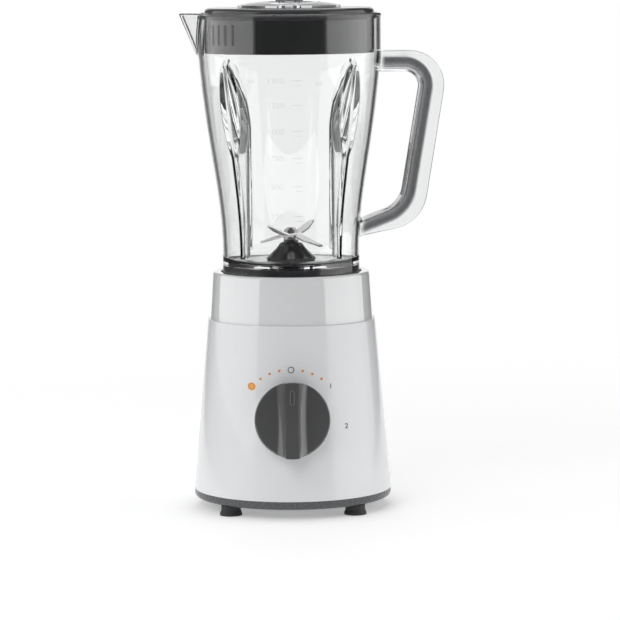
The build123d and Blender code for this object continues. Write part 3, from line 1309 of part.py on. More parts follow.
# ---------------------------------------------------------------- assembly
def build_nodes():
    """Every named piece, still around the drive axis."""
    half = FOOT_PITCH / 2
    return {
        "main_housing": main_housing(),
        "top_collar": top_collar(),
        "bottom_cover": bottom_cover(),
        "foot_front_left": foot(-half, -half),
        "foot_front_right": foot(half, -half),
        "foot_rear_left": foot(-half, half),
        "foot_rear_right": foot(half, half),
        "cover_screws": cover_screws(),
        "motor_lower_bracket": motor_lower_bracket(),
        "motor_upper_bracket": motor_upper_bracket(),
        "stator_core": stator_core(),
        "field_coils": field_coils(),
        "lower_bearing": bearing(Z_LOWER_BEARING),
        "upper_bearing": bearing(Z_UPPER_BEARING),
        "brush_holders": [brush_holder(-1), brush_holder(1)],
        "carbon_brushes": [brush(-1), brush(1)],
        "motor_through_bolts": motor_bolts(),
        "motor_dampers": [damper(x, y) for x, y in corners_at(DAMPER_X, DAMPER_Y)],
        "motor_mount_screws": motor_mount_screws(),
        "air_baffle": air_baffle(),
        "motor_shaft": motor_shaft(),
        "armature_core": armature_core(),
        "armature_windings": armature_windings(),
        "commutator": commutator(),
        "cooling_fan": cooling_fan(),
        "drive_coupler": drive_coupler(),
        "shaft_seal": shaft_seal(),
        "rotary_switch": rotary_switch(),
        "cord_gland": cord_gland(),
        "gland_nut": gland_nut(),
        "suppression_capacitor": suppression_capacitor(),
        "interlock_switch": interlock_switch(),
        "interlock_spring": interlock_spring(),
        "interlock_pin": interlock_pin(),
        "speed_knob": speed_knob(),
        "knob_spindle": knob_spindle(),
        "goblet": goblet(),
        "goblet_handle": goblet_handle(),
        "goblet_base_ring": goblet_base_ring(),
        "blade_carrier": blade_carrier(),
        "carrier_seal": carrier_seal(),
        "carrier_nut": carrier_nut(),
        "blade_bushing": blade_bushing(),
        "shaft_lip_seal": shaft_lip_seal(),
        "blade_shaft": blade_shaft(),
        "lower_blade": lower_blade(),
        "upper_blade": upper_blade(),
        "blade_washers": blade_washers(),
        "blade_nut": blade_nut(),
        "driven_coupler": driven_coupler(),
        "lid": lid(),
        "lid_seal": lid_seal(),
        "filler_cap": filler_cap(),
    }


def main():
    """Write one STEP per piece, with the origin at the middle of the footprint."""
    os.makedirs("parts", exist_ok=True)
    for name, shape in build_nodes().items():
        solids = shape if isinstance(shape, list) else [shape]
        placed = [Pos(AXIS_X, AXIS_Y, 0) * solid for solid in solids]
        whole = placed[0] if len(placed) == 1 else Compound(children=placed)
        export_step(whole, f"parts/{name}.step")


main()
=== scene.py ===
import bpy
import bmesh
import json
import math
import numpy as np
from mathutils import Matrix, Vector

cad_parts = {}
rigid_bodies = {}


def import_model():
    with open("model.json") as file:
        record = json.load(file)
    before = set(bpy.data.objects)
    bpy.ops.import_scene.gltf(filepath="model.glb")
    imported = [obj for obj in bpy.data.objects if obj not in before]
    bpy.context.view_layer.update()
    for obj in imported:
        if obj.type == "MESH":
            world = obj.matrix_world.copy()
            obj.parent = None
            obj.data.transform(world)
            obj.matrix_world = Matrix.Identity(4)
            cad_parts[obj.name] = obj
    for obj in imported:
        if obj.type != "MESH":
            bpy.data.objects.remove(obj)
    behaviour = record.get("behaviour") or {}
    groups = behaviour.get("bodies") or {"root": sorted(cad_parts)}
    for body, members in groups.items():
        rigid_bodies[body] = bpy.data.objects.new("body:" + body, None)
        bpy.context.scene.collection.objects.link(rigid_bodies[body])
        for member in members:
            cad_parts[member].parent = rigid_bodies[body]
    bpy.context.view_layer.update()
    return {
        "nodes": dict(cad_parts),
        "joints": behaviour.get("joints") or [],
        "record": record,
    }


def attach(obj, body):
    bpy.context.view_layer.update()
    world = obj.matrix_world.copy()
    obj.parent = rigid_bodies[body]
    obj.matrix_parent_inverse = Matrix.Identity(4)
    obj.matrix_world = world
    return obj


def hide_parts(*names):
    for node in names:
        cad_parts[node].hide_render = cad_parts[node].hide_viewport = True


for old in list(bpy.data.objects):
    bpy.data.objects.remove(old, do_unlink=True)

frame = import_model()
NODES = frame["nodes"]
JOINTS = {j["name"]: j for j in frame["joints"]}
SLOTS = {s["node"]: s["material_slot"] for s in frame["record"]["subparts"]}
AXIS_X, AXIS_Y = JOINTS["motor_spin"]["pos_m"][:2]
MM = 0.001
scene = bpy.context.scene


# ------------------------------------------------------------------ materials
def shader(name):
    """A new material with its node tree, Principled shader and object coordinates."""
    made = bpy.data.materials.new(name)
    made.use_nodes = True
    nodes, links = made.node_tree.nodes, made.node_tree.links
    nodes.clear()
    out = nodes.new("ShaderNodeOutputMaterial")
    principled = nodes.new("ShaderNodeBsdfPrincipled")
    links.new(principled.outputs[0], out.inputs["Surface"])
    coords = nodes.new("ShaderNodeTexCoord")
    return made, nodes, links, principled, coords.outputs["Object"]


def noise(nodes, links, vector, scale, detail=4.0, stretch=(1, 1, 1)):
    """Noise texture, optionally stretched, as a 0 to 1 value."""
    mapping = nodes.new("ShaderNodeMapping")
    mapping.inputs["Scale"].default_value = stretch
    links.new(vector, mapping.inputs["Vector"])
    texture = nodes.new("ShaderNodeTexNoise")
    texture.inputs["Scale"].default_value = scale
    texture.inputs["Detail"].default_value = detail
    links.new(mapping.outputs[0], texture.inputs["Vector"])
    return texture.outputs["Fac"]


def spread(nodes, links, value, low, high, start=0.3, end=0.7):
    """A value mapped from start..end to low..high."""
    ranged = nodes.new("ShaderNodeMapRange")
    ranged.inputs["From Min"].default_value = start
    ranged.inputs["From Max"].default_value = end
    ranged.inputs["To Min"].default_value = low
    ranged.inputs["To Max"].default_value = high
    links.new(value, ranged.inputs["Value"])
    return ranged.outputs[0]


def blended(nodes, links, factor, first, second):
    """Colour between two, by a factor."""
    mixed = nodes.new("ShaderNodeMix")
    mixed.data_type = "RGBA"
    links.new(factor, mixed.inputs["Factor"])
    for socket, colour in ((mixed.inputs[6], first), (mixed.inputs[7], second)):
        if isinstance(colour, tuple):
            socket.default_value = (*colour, 1)
        else:
            links.new(colour, socket)
    return mixed.outputs[2]


def finish_material(name, colour, rough, metal=0.0, grain=300.0, bump=0.02, vary=0.04, wear=0.15,
                    stretch=(1, 1, 1), coat=0.0, specular=0.5, rough_vary=0.18):
    """Opaque plastic, rubber or metal with mottled colour, uneven gloss, fine bump and worn edges."""
    made, nodes, links, principled, vector = shader(name)
    cloud = noise(nodes, links, vector, 22.0, 5.0)
    fine = noise(nodes, links, vector, grain, 3.0, stretch)
    dark = tuple(c * (1 - vary) for c in colour)
    light = tuple(min(1.0, c * (1 + vary)) for c in colour)
    body = blended(nodes, links, spread(nodes, links, cloud, 0, 1), dark, light)
    geometry = nodes.new("ShaderNodeNewGeometry")
    edge = spread(nodes, links, geometry.outputs["Pointiness"], 0, wear, 0.53, 0.62)
    worn = tuple(min(1.0, c * 1.15 + 0.03) for c in colour)
    links.new(blended(nodes, links, edge, body, worn), principled.inputs["Base Color"])
    links.new(spread(nodes, links, fine, rough * (1 - rough_vary), rough * (1 + rough_vary)),
              principled.inputs["Roughness"])
    bumped = nodes.new("ShaderNodeBump")
    bumped.inputs["Strength"].default_value = bump
    bumped.inputs["Distance"].default_value = 0.0004
    links.new(fine, bumped.inputs["Height"])
    links.new(bumped.outputs[0], principled.inputs["Normal"])
    principled.inputs["Metallic"].default_value = metal
    principled.inputs["Coat Weight"].default_value = coat
    principled.inputs["Coat IOR"].default_value = 1.7
    principled.inputs["Specular IOR Level"].default_value = specular
    return made


def clear_material(name, colour, rough, ior, vary=0.01, painted_shade=None):
    """Clear moulded plastic with faint flow waviness, smudges and tint variation.

    A darker colour is painted where the piece's "depth" value is high. This is painted shade on the handle's
    finger side: it stands in for the dark band that refraction shows there, not a real tint of thick
    plastic.
    """
    made, nodes, links, principled, vector = shader(name)
    cloud = noise(nodes, links, vector, 30.0, 3.0)
    smudge = noise(nodes, links, vector, 140.0, 6.0)
    dark = tuple(c * (1 - vary) for c in colour)
    tint = blended(nodes, links, spread(nodes, links, cloud, 0, 1), dark, colour)
    # painted shade: the handle's dark band darkens the clear colour here
    if painted_shade:
        shade_value = nodes.new("ShaderNodeAttribute")
        shade_value.attribute_name = "depth"
        tint = blended(nodes, links, shade_value.outputs["Fac"], tint, painted_shade)
    links.new(tint, principled.inputs["Base Color"])
    links.new(spread(nodes, links, smudge, rough * 0.3, rough * 1.8, 0.45, 0.75),
              principled.inputs["Roughness"])
    bumped = nodes.new("ShaderNodeBump")
    bumped.inputs["Strength"].default_value = 0.03
    bumped.inputs["Distance"].default_value = 0.001
    links.new(cloud, bumped.inputs["Height"])
    links.new(bumped.outputs[0], principled.inputs["Normal"])
    principled.inputs["Transmission Weight"].default_value = 1.0
    principled.inputs["IOR"].default_value = ior
    return made


MATERIALS = {
    "white_housing": finish_material(
        "white_housing", (0.80, 0.812, 0.824), 0.22, bump=0.003, vary=0.012, grain=420, wear=0.0, coat=0.35,
        specular=0.7, rough_vary=0.08
    ),
    "white_collar": finish_material(
        "white_collar", (0.80, 0.808, 0.815), 0.10, bump=0.002, vary=0.012, wear=0.0, coat=1.0,
        specular=1.0, rough_vary=0.08
    ),
    "base_trim": finish_material(
        "base_trim", (0.085, 0.088, 0.093), 0.27, bump=0.004, vary=0.03, grain=700, wear=0.0,
        rough_vary=0.06
    ),
    "black_rubber": finish_material(
        "black_rubber", (0.030, 0.030, 0.032), 0.62, bump=0.10, vary=0.15, grain=500
    ),
    "grey_seal": finish_material("grey_seal", (0.10, 0.10, 0.11), 0.55, bump=0.06, vary=0.12, grain=500),
    "screw_steel": finish_material(
        "screw_steel", (0.60, 0.60, 0.58), 0.34, 1.0, bump=0.06, vary=0.08, grain=900
    ),
    "shaft_steel": finish_material(
        "shaft_steel", (0.66, 0.66, 0.65), 0.24, 1.0, bump=0.05, vary=0.06, grain=900, stretch=(1, 1, 12)
    ),
    "bracket_metal": finish_material(
        "bracket_metal", (0.62, 0.63, 0.64), 0.48, 1.0, bump=0.18, vary=0.10, grain=800
    ),
    "lamination_steel": finish_material(
        "lamination_steel", (0.30, 0.30, 0.31), 0.42, 1.0, bump=0.5, vary=0.12, grain=900,
        stretch=(0.02, 0.02, 1.6)
    ),
    "winding_copper": finish_material(
        "winding_copper", (0.58, 0.22, 0.08), 0.30, 1.0, bump=0.5, vary=0.14, grain=700, stretch=(1, 1, 0.1)
    ),
    "holder_brass": finish_material(
        "holder_brass", (0.72, 0.52, 0.22), 0.32, 1.0, bump=0.05, vary=0.08, grain=800
    ),
    "carbon": finish_material("carbon", (0.04, 0.04, 0.042), 0.66, bump=0.15, vary=0.2, grain=900),
    "fan_plastic": finish_material("fan_plastic", (0.70, 0.70, 0.66), 0.48, bump=0.08, vary=0.05, grain=700),
    "coupler_plastic": finish_material("coupler_plastic", (0.045, 0.045, 0.05), 0.36, bump=0.06, vary=0.12),
    "switch_plastic": finish_material("switch_plastic", (0.07, 0.07, 0.075), 0.44, bump=0.08, vary=0.1),
    "capacitor_film": finish_material("capacitor_film", (0.62, 0.43, 0.10), 0.36, bump=0.05, vary=0.08),
    "knob_plastic": finish_material(
        "knob_plastic", (0.055, 0.056, 0.058), 0.36, bump=0.003, vary=0.02, grain=700, wear=0.0, coat=0.9,
        specular=1.0, rough_vary=0.05
    ),
    # the darker second colour of the clear plastic is painted shade for the handle's dark band
    "clear_plastic": clear_material(
        "clear_plastic", (0.985, 0.99, 0.99), 0.02, 1.5, painted_shade=(0.36, 0.363, 0.37)
    ),
    "smoke_plastic": clear_material("smoke_plastic", (0.80, 0.81, 0.82), 0.04, 1.5, 0.04),
    "lid_plastic": finish_material(
        "lid_plastic", (0.052, 0.053, 0.055), 0.16, bump=0.02, vary=0.08, grain=500, coat=0.3
    ),
    "carrier_plastic": finish_material(
        "carrier_plastic", (0.080, 0.076, 0.084), 0.17, bump=0.03, vary=0.1, coat=0.4
    ),
    "ring_plastic": finish_material("ring_plastic", (0.115, 0.115, 0.128), 0.22, bump=0.03, vary=0.08),
    "pointer_edge": finish_material("pointer_edge", (0.27, 0.27, 0.28), 0.35, bump=0.02, vary=0.05),
    "blade_steel": finish_material(
        "blade_steel", (0.72, 0.72, 0.71), 0.20, 1.0, bump=0.08, vary=0.05, grain=700, stretch=(1, 9, 1)
    ),
    "bushing_bronze": finish_material("bushing_bronze", (0.52, 0.36, 0.18), 0.42, 1.0, bump=0.15, vary=0.12),
    "print_dark": finish_material("print_dark", (0.05, 0.055, 0.065), 0.40, bump=0.05, vary=0.1),
    "print_orange": finish_material("print_orange", (0.80, 0.31, 0.045), 0.38, bump=0.05, vary=0.06),
    "print_pale": finish_material("print_pale", (0.95, 0.44, 0.085), 0.38, bump=0.05, vary=0.06),
}


def mark_material(name, colour, alpha):
    """Faint see-through print for the goblet's graduations."""
    made, nodes, links, principled, vector = shader(name)
    patch = noise(nodes, links, vector, 260.0, 4.0)
    faded = tuple(c * 0.85 for c in colour)
    tint = blended(nodes, links, spread(nodes, links, patch, 0, 1), faded, colour)
    links.new(tint, principled.inputs["Base Color"])
    links.new(spread(nodes, links, patch, 0.35, 0.6), principled.inputs["Roughness"])
    links.new(spread(nodes, links, patch, alpha * 0.8, alpha * 1.15), principled.inputs["Alpha"])
    return made


GRADUATION = mark_material("graduation_print", (0.36, 0.37, 0.38), 0.17)

for node_name, node in NODES.items():
    node.data.materials.clear()
    node.data.materials.append(MATERIALS[SLOTS[node_name]])
if "goblet_base_ring" in NODES:
    NODES["goblet_base_ring"].data.materials[0] = MATERIALS["ring_plastic"]


# ------------------------------------------------------------------ mesh helpers
def mesh_piece(name, points, faces, material, body, smooth=True):
    """A mesh in the row frame from millimetre points about the drive axis, riding on a body."""
    places = np.asarray(points, float) * MM + np.array((AXIS_X, AXIS_Y, 0.0))
    mesh = bpy.data.meshes.new(name)
    mesh.from_pydata(places.tolist(), [], faces)
    mesh.update()
    mesh.materials.append(material)
    piece = bpy.data.objects.new(name, mesh)
    scene.collection.objects.link(piece)
    if smooth:
        mesh.polygons.foreach_set("use_smooth", [True] * len(mesh.polygons))
    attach(piece, body)
    return piece


def tidy_normals(piece, angle=math.radians(38)):
    """Outward normals, with edges sharper than the angle kept crisp."""
    work = bmesh.new()
    work.from_mesh(piece.data)
    bmesh.ops.remove_doubles(work, verts=work.verts, dist=2e-7)
    bmesh.ops.recalc_face_normals(work, faces=work.faces)
    for edge in work.edges:
        edge.smooth = len(edge.link_faces) == 2 and edge.calc_face_angle(0.0) < angle
    work.to_mesh(piece.data)
    work.free()


def grid_faces(rows, columns, closed_rows=True):
    """Quads of a grid whose columns run round, and whose rows may run round too."""
    index = np.arange(rows * columns).reshape(rows, columns)
    below = np.roll(index, -1, axis=0) if closed_rows else index[1:]
    here = index if closed_rows else index[:-1]
    quads = np.stack([here, np.roll(here, -1, axis=1), np.roll(below, -1, axis=1), below], axis=-1)
    return quads.reshape(-1, 4).tolist()


# ------------------------------------------------------------------ goblet
WALL = 3.0
SKIRT_R, NECK_R, RIM_R = 51.9, 69.1, 69.3
Z_SKIRT, Z_FLARE, Z_FLOOR_UNDER, Z_FLOOR, Z_BAND, Z_RIM = 161.0, 190.0, 184.0, 187.0, 343.5, 374.0
FLOOR_HOLE_R = 11.3
FLOOR_ROUND = 4.0
SKIRT_ROUND_R = 46.5                                # where the skirt's inner rounding starts under the floor
FLARE = np.array(((SKIRT_R, Z_FLARE), (SKIRT_R, 240.0), (63.1, 268.5), (NECK_R, Z_BAND)))
RIB_CREST_R, RIB_NOSE, RIB_STEM, RIB_LEAF = 43.0, 1.5, 3.4, 10.6
LEAF_START, LEAF_END, LEAF_FULLNESS = 0.58, 1.06, 0.8    # along the flare
RISE_START, RISE_LENGTH = 0.7, 0.27                 # where the crest runs back into the wall
GROOVE_WALL, GROOVE_MOUTH, GROOVE_MIDDLE, GROOVE_NOSE = 3.0, 1.3, 0.9, 0.5
SPOUT_ROOT_ANGLE, SPOUT_ANGLE, SPOUT_LIMIT = 7.0, 21.0, 32.0
SPOUT_ROOT_REACH, SPOUT_REACH, SPOUT_NOSE = 70.6, 83.2, 2.5
SIDE_POINTS = 12
HANDLE_HALF, HANDLE_WALL, HANDLE_FLOOR = 10.0, 2.8, 3.2
FINGER_ROUND, CHANNEL_ROUND, LIP_ROUND = 7.5, 4.5, 0.9
SHADE_POINTS = (10.2, 11.8)                         # section points where the painted shade band on the handle ends
FINGER_LINE = ((66.9, 329.4), (98.4, 329.4), (82.0, 230.9), (50.2, 218.2))
FINGER_BENDS = (10.4, 20.0)
OUTER_LINE = ((66.9, 345.5), (120.6, 345.5), (99.5, 216.0), (50.2, 205.1))
OUTER_BENDS = (26.0, 30.0)
HANDLE_COUNTS = (8, 14, 34, 14, 14)


def flare_at(share):
    """(radius, height) on the outside of the flared wall."""
    rest = 1 - share
    weights = np.array((rest ** 3, 3 * share * rest ** 2, 3 * share ** 2 * rest, share ** 3))
    return weights @ FLARE


SHARES = np.linspace(0, 1, 400)
FLARE_LINE = np.array([flare_at(s) for s in SHARES])


def wall_radius(z):
    """Outer radius of the goblet at a height."""
    if z <= Z_FLARE:
        return SKIRT_R
    if z >= Z_BAND:
        return NECK_R + (RIM_R - NECK_R) * min(1.0, (z - Z_BAND) / 1.5)
    return float(np.interp(z, FLARE_LINE[:, 1], FLARE_LINE[:, 0]))


def rib_at(z):
    """(crest radius, half width at the root) of the ribs inside the wall, or None."""
    share = float(np.interp(z, FLARE_LINE[:, 1], SHARES)) if z < Z_BAND else 1.0
    wall = wall_radius(z) - WALL
    leaf = 0.0
    if share > LEAF_START:
        leaf = max(0.0, math.sin(math.pi * (share - LEAF_START) / (LEAF_END - LEAF_START))) ** LEAF_FULLNESS
    rise = min(1.0, max(0.0, (share - RISE_START) / RISE_LENGTH)) ** 2
    crest = RIB_CREST_R + (wall - RIB_CREST_R) * rise
    start = min(1.0, max(0.0, (z - Z_FLARE - 1.2) / 2.0))
    crest = wall + (crest - wall) * start
    return min(crest, wall - 0.02), RIB_STEM + (RIB_LEAF - RIB_STEM) * leaf


def chaikin(points):
    """Closed line with its corners cut, at a quarter and three quarters of each side."""
    after = np.roll(points, -1, axis=0)
    cut = np.stack([0.75 * points + 0.25 * after, 0.25 * points + 0.75 * after], axis=1)
    return cut.reshape(-1, 2)


def ring(corner_half, middle_points):
    """Closed plan section: the same corner at each rib, and arcs in between."""
    points = []
    for quarter in range(4):
        turn = math.radians(45 + 90 * quarter)
        for x, y in middle_points:
            points.append((x * math.cos(turn) - y * math.sin(turn), x * math.sin(turn) + y * math.cos(turn)))
        radius, start = corner_half
        for k in range(1, 2 * SIDE_POINTS + 1):
            angle = turn + start + (math.pi / 2 - 2 * start) * k / (2 * SIDE_POINTS + 1)
            points.append((radius * math.cos(angle), radius * math.sin(angle)))
    return chaikin(chaikin(np.array(points)))


def inner_ring(wall, crest, half):
    """Plan section of the inside with the rib pressed in by crest, half wide at its root."""
    root = wall + WALL / 2
    nose = np.array((crest, RIB_NOSE))
    side = np.array((root, half)) - nose
    a, b, c = side @ side, 2 * nose @ side, nose @ nose - wall ** 2
    reach = (-b + math.sqrt(max(0.0, b * b - 4 * a * c))) / (2 * a)
    foot = nose + side * reach
    before = nose + side * max(reach * 0.5, reach - 1.0 / np.linalg.norm(side))
    angle = math.atan2(foot[1], foot[0])
    step = 1.0 / wall
    after = (wall * math.cos(angle + step), wall * math.sin(angle + step))
    upper = [tuple(nose), tuple(before), tuple(foot), after]
    lower = [(x, -y) for x, y in reversed(upper)]
    return ring((wall, angle + step), lower + upper)


def outer_ring(wall, crest):
    """Plan section of the outside with the narrow groove behind each rib."""
    outside = wall + WALL
    nose = min(crest + GROOVE_WALL, outside - 0.6)
    painted_shade = max(0.0, min(1.0, (wall - crest) / 1.0))
    nose = outside + (nose - outside) * painted_shade
    angle = GROOVE_MOUTH / outside
    mouth = (outside * math.cos(angle), outside * math.sin(angle))
    step = 0.7 / outside
    after = (outside * math.cos(angle + step), outside * math.sin(angle + step))
    middle = ((nose + mouth[0]) / 2, GROOVE_MIDDLE)
    upper = [(nose, GROOVE_NOSE), middle, mouth, after]
    lower = [(x, -y) for x, y in reversed(upper)]
    return ring((outside, angle + step), lower + upper)


def soft_max(first, second, width):
    """The larger of two, blended over a width."""
    mix = np.clip(0.5 + 0.5 * (first - second) / width, 0, 1)
    return second + (first - second) * mix + width * mix * (1 - mix)


def with_spout(points, z, inset, wall):
    """Plan section with the spout pushed out on the -X side."""
    if z <= Z_BAND:
        return points
    share = (z - Z_BAND) / (Z_RIM - Z_BAND)
    side_r = RIM_R - 2.0 - inset
    root, tip = (
        np.array((math.cos(math.radians(a)), math.sin(math.radians(a)))) * side_r
        for a in (SPOUT_ROOT_ANGLE, SPOUT_ANGLE)
    )
    foot = root + (tip - root) * share
    nose = np.array((SPOUT_ROOT_REACH + (SPOUT_REACH - SPOUT_ROOT_REACH) * share - inset, SPOUT_NOSE))
    turn = np.arctan2(points[:, 1], -points[:, 0])
    radius = np.hypot(points[:, 0], points[:, 1])
    side = foot - nose
    across = np.cos(turn) * side[1] - np.abs(np.sin(turn)) * side[0]
    line = (nose[0] * side[1] - nose[1] * side[0]) / np.where(np.abs(across) < 1e-6, 1e-6, across)
    flat = nose[0] / np.maximum(np.cos(turn), 0.2)
    pushed = -soft_max(-line, -flat, 1.6)
    near = np.abs(turn) < math.radians(SPOUT_LIMIT)
    joined = np.where(near, soft_max(pushed, radius, 1.4 * min(1.0, share * 3)), radius)
    scale = joined / radius
    return points * scale[:, None]


def goblet_rows():
    """Plan sections with heights: up the outside, over the rim, down the inside, across the floor."""
    rows = []

    def outside(z, inset=0.0):
        crest, _ = rib_at(z)
        wall = wall_radius(z) - WALL
        if z < Z_FLARE + 1 or z > Z_BAND:
            crest = wall
        section = outer_ring(wall - inset, crest - inset)
        rows.append((with_spout(section, z, inset, wall), z))

    def inside(z, inset=0.0):
        crest, half = rib_at(z)
        wall = wall_radius(z) - WALL + inset
        if z < Z_FLARE + 1 or z > Z_BAND:
            crest = wall - 0.02
        rows.append((with_spout(inner_ring(wall, crest + inset, half), z, 2.7 - inset, wall), z))

    rib_start = [Z_FLARE + up for up in (0.0, 1.2, 1.9, 2.6, 3.2, 4.5)]
    heights = rib_start + list(np.linspace(Z_FLARE + 7, Z_BAND - 2.5, 58)) + [Z_BAND - 1.0]
    for up, inset in ((0.0, 1.2), (0.15, 0.6), (0.6, 0.15), (1.3, 0.0), (15.0, 0.0)):
        outside(Z_SKIRT + up, inset)
    for z in heights:
        outside(z)
    band = list(np.linspace(Z_BAND + 0.5, Z_RIM - 1.4, 16))
    for z in band:
        outside(z)
    for down, inset in ((0.7, 0.12), (0.25, 0.5), (0.03, 1.0)):
        outside(Z_RIM - down, inset)
    for down, inset in ((0.03, 0.9), (0.25, 0.45), (0.7, 0.1)):
        inside(Z_RIM - down, inset)
    for z in reversed(band):
        inside(z)
    for z in reversed(heights[1:]):
        inside(z)
    plain = SKIRT_R - WALL

    def circle(radius, z):
        rows.append((inner_ring(radius, radius - 0.02, RIB_STEM), z))

    for angle in (0, 15, 30, 45, 60, 75, 90):
        turn = math.radians(angle)
        circle(plain - FLOOR_ROUND * (1 - math.cos(turn)), Z_FLOOR + FLOOR_ROUND * (1 - math.sin(turn)))
    edge = 0.4
    for radius in (40, 26, 14, FLOOR_HOLE_R + edge):
        circle(radius, Z_FLOOR)
    circle(FLOOR_HOLE_R, Z_FLOOR - edge)
    circle(FLOOR_HOLE_R, Z_FLOOR_UNDER + edge)
    for radius in (FLOOR_HOLE_R + edge, 14, 30, SKIRT_ROUND_R):
        circle(radius, Z_FLOOR_UNDER)
    for out, down in ((1.7, 0.3), (2.3, 1.1)):
        circle(SKIRT_ROUND_R + out, Z_FLOOR_UNDER - down)
    for z in (Z_FLOOR_UNDER - 2.5, Z_SKIRT + 9.0, Z_SKIRT + 1.2):
        circle(plain, z)
    for out, up in ((0.3, 0.4), (0.9, 0.05)):
        circle(plain + out, Z_SKIRT + up)
    return rows


def rounded_line(corners, bends, counts):
    """Points along a line whose inner corners are rounded, with set counts on each part."""
    corners = [np.array(c, float) for c in corners]
    parts = []
    start = corners[0]
    for before, at, after, bend in zip(corners, corners[1:], corners[2:], bends):
        into = (at - before) / np.linalg.norm(at - before)
        out = (after - at) / np.linalg.norm(after - at)
        half_turn = math.acos(float(np.clip(into @ out, -1, 1))) / 2
        back = bend * math.tan(half_turn)
        first, last = at - into * back, at + out * back
        normal = np.array((-into[1], into[0]))
        sign = 1.0 if normal @ out > 0 else -1.0
        centre = first + normal * sign * bend
        parts.append((start, first, None))
        parts.append((first, last, (centre, bend, sign * 2 * half_turn)))
        start = last
    parts.append((start, corners[-1], None))
    points = []
    for (first, last, arc), count in zip(parts, counts):
        for k in range(count):
            share = k / count
            if arc is None:
                points.append(first + (last - first) * share)
            else:
                centre, _, turn = arc
                angle = turn * share
                spoke = first - centre
                points.append(centre + (
                    spoke[0] * math.cos(angle) - spoke[1] * math.sin(angle),
                    spoke[0] * math.sin(angle) + spoke[1] * math.cos(angle),
                ))
    points.append(corners[-1])
    return np.array(points)


def handle_section(depth):
    """U-shaped section, finger side at 0, as (along, across) points."""
    half, wall, floor = HANDLE_HALF, HANDLE_WALL, HANDLE_FLOOR
    finger, channel, lip = FINGER_ROUND, CHANNEL_ROUND, LIP_ROUND
    side = []
    for k in range(9):
        turn = math.pi / 2 * k / 8
        side.append((finger - finger * math.cos(turn), half - finger + finger * math.sin(turn)))
    side += [(a, half) for a in SHADE_POINTS]
    for k in range(4):
        turn = math.pi / 2 * k / 3
        side.append((depth - lip + lip * math.sin(turn), half - lip + lip * math.cos(turn)))
    for k in range(4):
        turn = math.pi / 2 * k / 3
        side.append((depth - lip + lip * math.cos(turn), half - wall + lip - lip * math.sin(turn)))
    side += [(a, half - wall) for a in reversed(SHADE_POINTS)]
    for k in range(7):
        turn = math.pi / 2 * k / 6
        side.append((floor + channel * (1 - math.sin(turn)), half - wall - channel * (1 - math.cos(turn))))
    return side + [(a, -b) for a, b in reversed(side)]


def mark_depth(mesh):
    """Store painted shade for the handle's finger side as the "depth" value, from 0 to 1, on every point."""
    line = rounded_line(FINGER_LINE, FINGER_BENDS, HANDLE_COUNTS)
    spots = np.empty(len(mesh.vertices) * 3)
    mesh.vertices.foreach_get("co", spots)
    spots = (spots.reshape(-1, 3) - np.array((AXIS_X, AXIS_Y, 0.0))) / MM
    away = np.linalg.norm(spots[:, None, (0, 2)] - line[None, :, :], axis=2).min(1)
    # painted shade strength: full across a band a few mm behind the finger side, none beyond it
    depth = np.clip((11.7 - away) / 1.4, 0, 1) * np.clip(0.62 + away / 20.0, 0, 1)
    wall = np.interp(spots[:, 2], FLARE_LINE[:, 1], FLARE_LINE[:, 0])
    outside = np.clip((spots[:, 0] - wall - 0.4) / 3.0, 0, 1) * (np.abs(spots[:, 1]) < 10.3)
    stored = mesh.attributes.new("depth", "FLOAT", "POINT")
    stored.data.foreach_set("value", (depth * outside).astype(np.float32))


def make_handle():
    """Handle between the finger line and the outer line, closed at both ends inside the wall."""
    inner = rounded_line(FINGER_LINE, FINGER_BENDS, HANDLE_COUNTS)
    outer = rounded_line(OUTER_LINE, OUTER_BENDS, HANDLE_COUNTS)
    points = []
    for near, far in zip(inner, outer):
        along = far - near
        depth = float(np.linalg.norm(along))
        along = along / depth
        for a, b in handle_section(depth):
            spot = near + along * a
            points.append((spot[0], b, spot[1]))
    columns = len(points) // len(inner)
    faces = grid_faces(len(inner), columns, closed_rows=False)
    last = (len(inner) - 1) * columns
    faces.append(list(range(columns)))
    faces.append(list(range(last + columns - 1, last - 1, -1)))
    return mesh_piece("handle_cutter", points, faces, MATERIALS["clear_plastic"], "goblet")


def make_goblet():
    """One clear moulding: ribbed wall, spout, floor, skirt and handle."""
    rows = goblet_rows()
    columns = len(rows[0][0])
    points = [(x, y, z) for section, z in rows for x, y in section]
    piece = mesh_piece("goblet_clear", points, grid_faces(len(rows), columns), MATERIALS["clear_plastic"],
                       "goblet")
    tidy_normals(piece, math.radians(60))
    grip = make_handle()
    tidy_normals(grip, math.radians(60))
    joined = piece.modifiers.new("join", "BOOLEAN")
    joined.operation = "UNION"
    joined.solver = "EXACT"
    joined.object = grip
    bpy.context.view_layer.update()
    result = bpy.data.meshes.new_from_object(piece.evaluated_get(bpy.context.evaluated_depsgraph_get()))
    piece.modifiers.clear()
    piece.data = result
    bpy.data.objects.remove(grip, do_unlink=True)
    result.polygons.foreach_set("use_smooth", [True] * len(result.polygons))
    tidy_normals(piece)
    # paint shade into the handle's finger side
    mark_depth(piece.data)
    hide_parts(*[n for n in ("goblet", "goblet_handle") if n in NODES])
    return piece


make_goblet()


# ------------------------------------------------------------------ prints
def text_shape(body, height):
    """Filled flat mesh of a numeral, centred, as points and faces."""
    curve = bpy.data.curves.new("numeral", "FONT")
    curve.body = body
    curve.size = 1.0
    curve.align_x = "CENTER"
    curve.resolution_u = 6
    carrier = bpy.data.objects.new("numeral", curve)
    scene.collection.objects.link(carrier)
    bpy.context.view_layer.update()
    mesh = bpy.data.meshes.new_from_object(carrier.evaluated_get(bpy.context.evaluated_depsgraph_get()))
    points = np.array([v.co[:2] for v in mesh.vertices])
    faces = [list(p.vertices) for p in mesh.polygons]
    bpy.data.objects.remove(carrier, do_unlink=True)
    low, high = points.min(0), points.max(0)
    return (points - (low + high) / 2) * (height / (high[1] - low[1])), faces


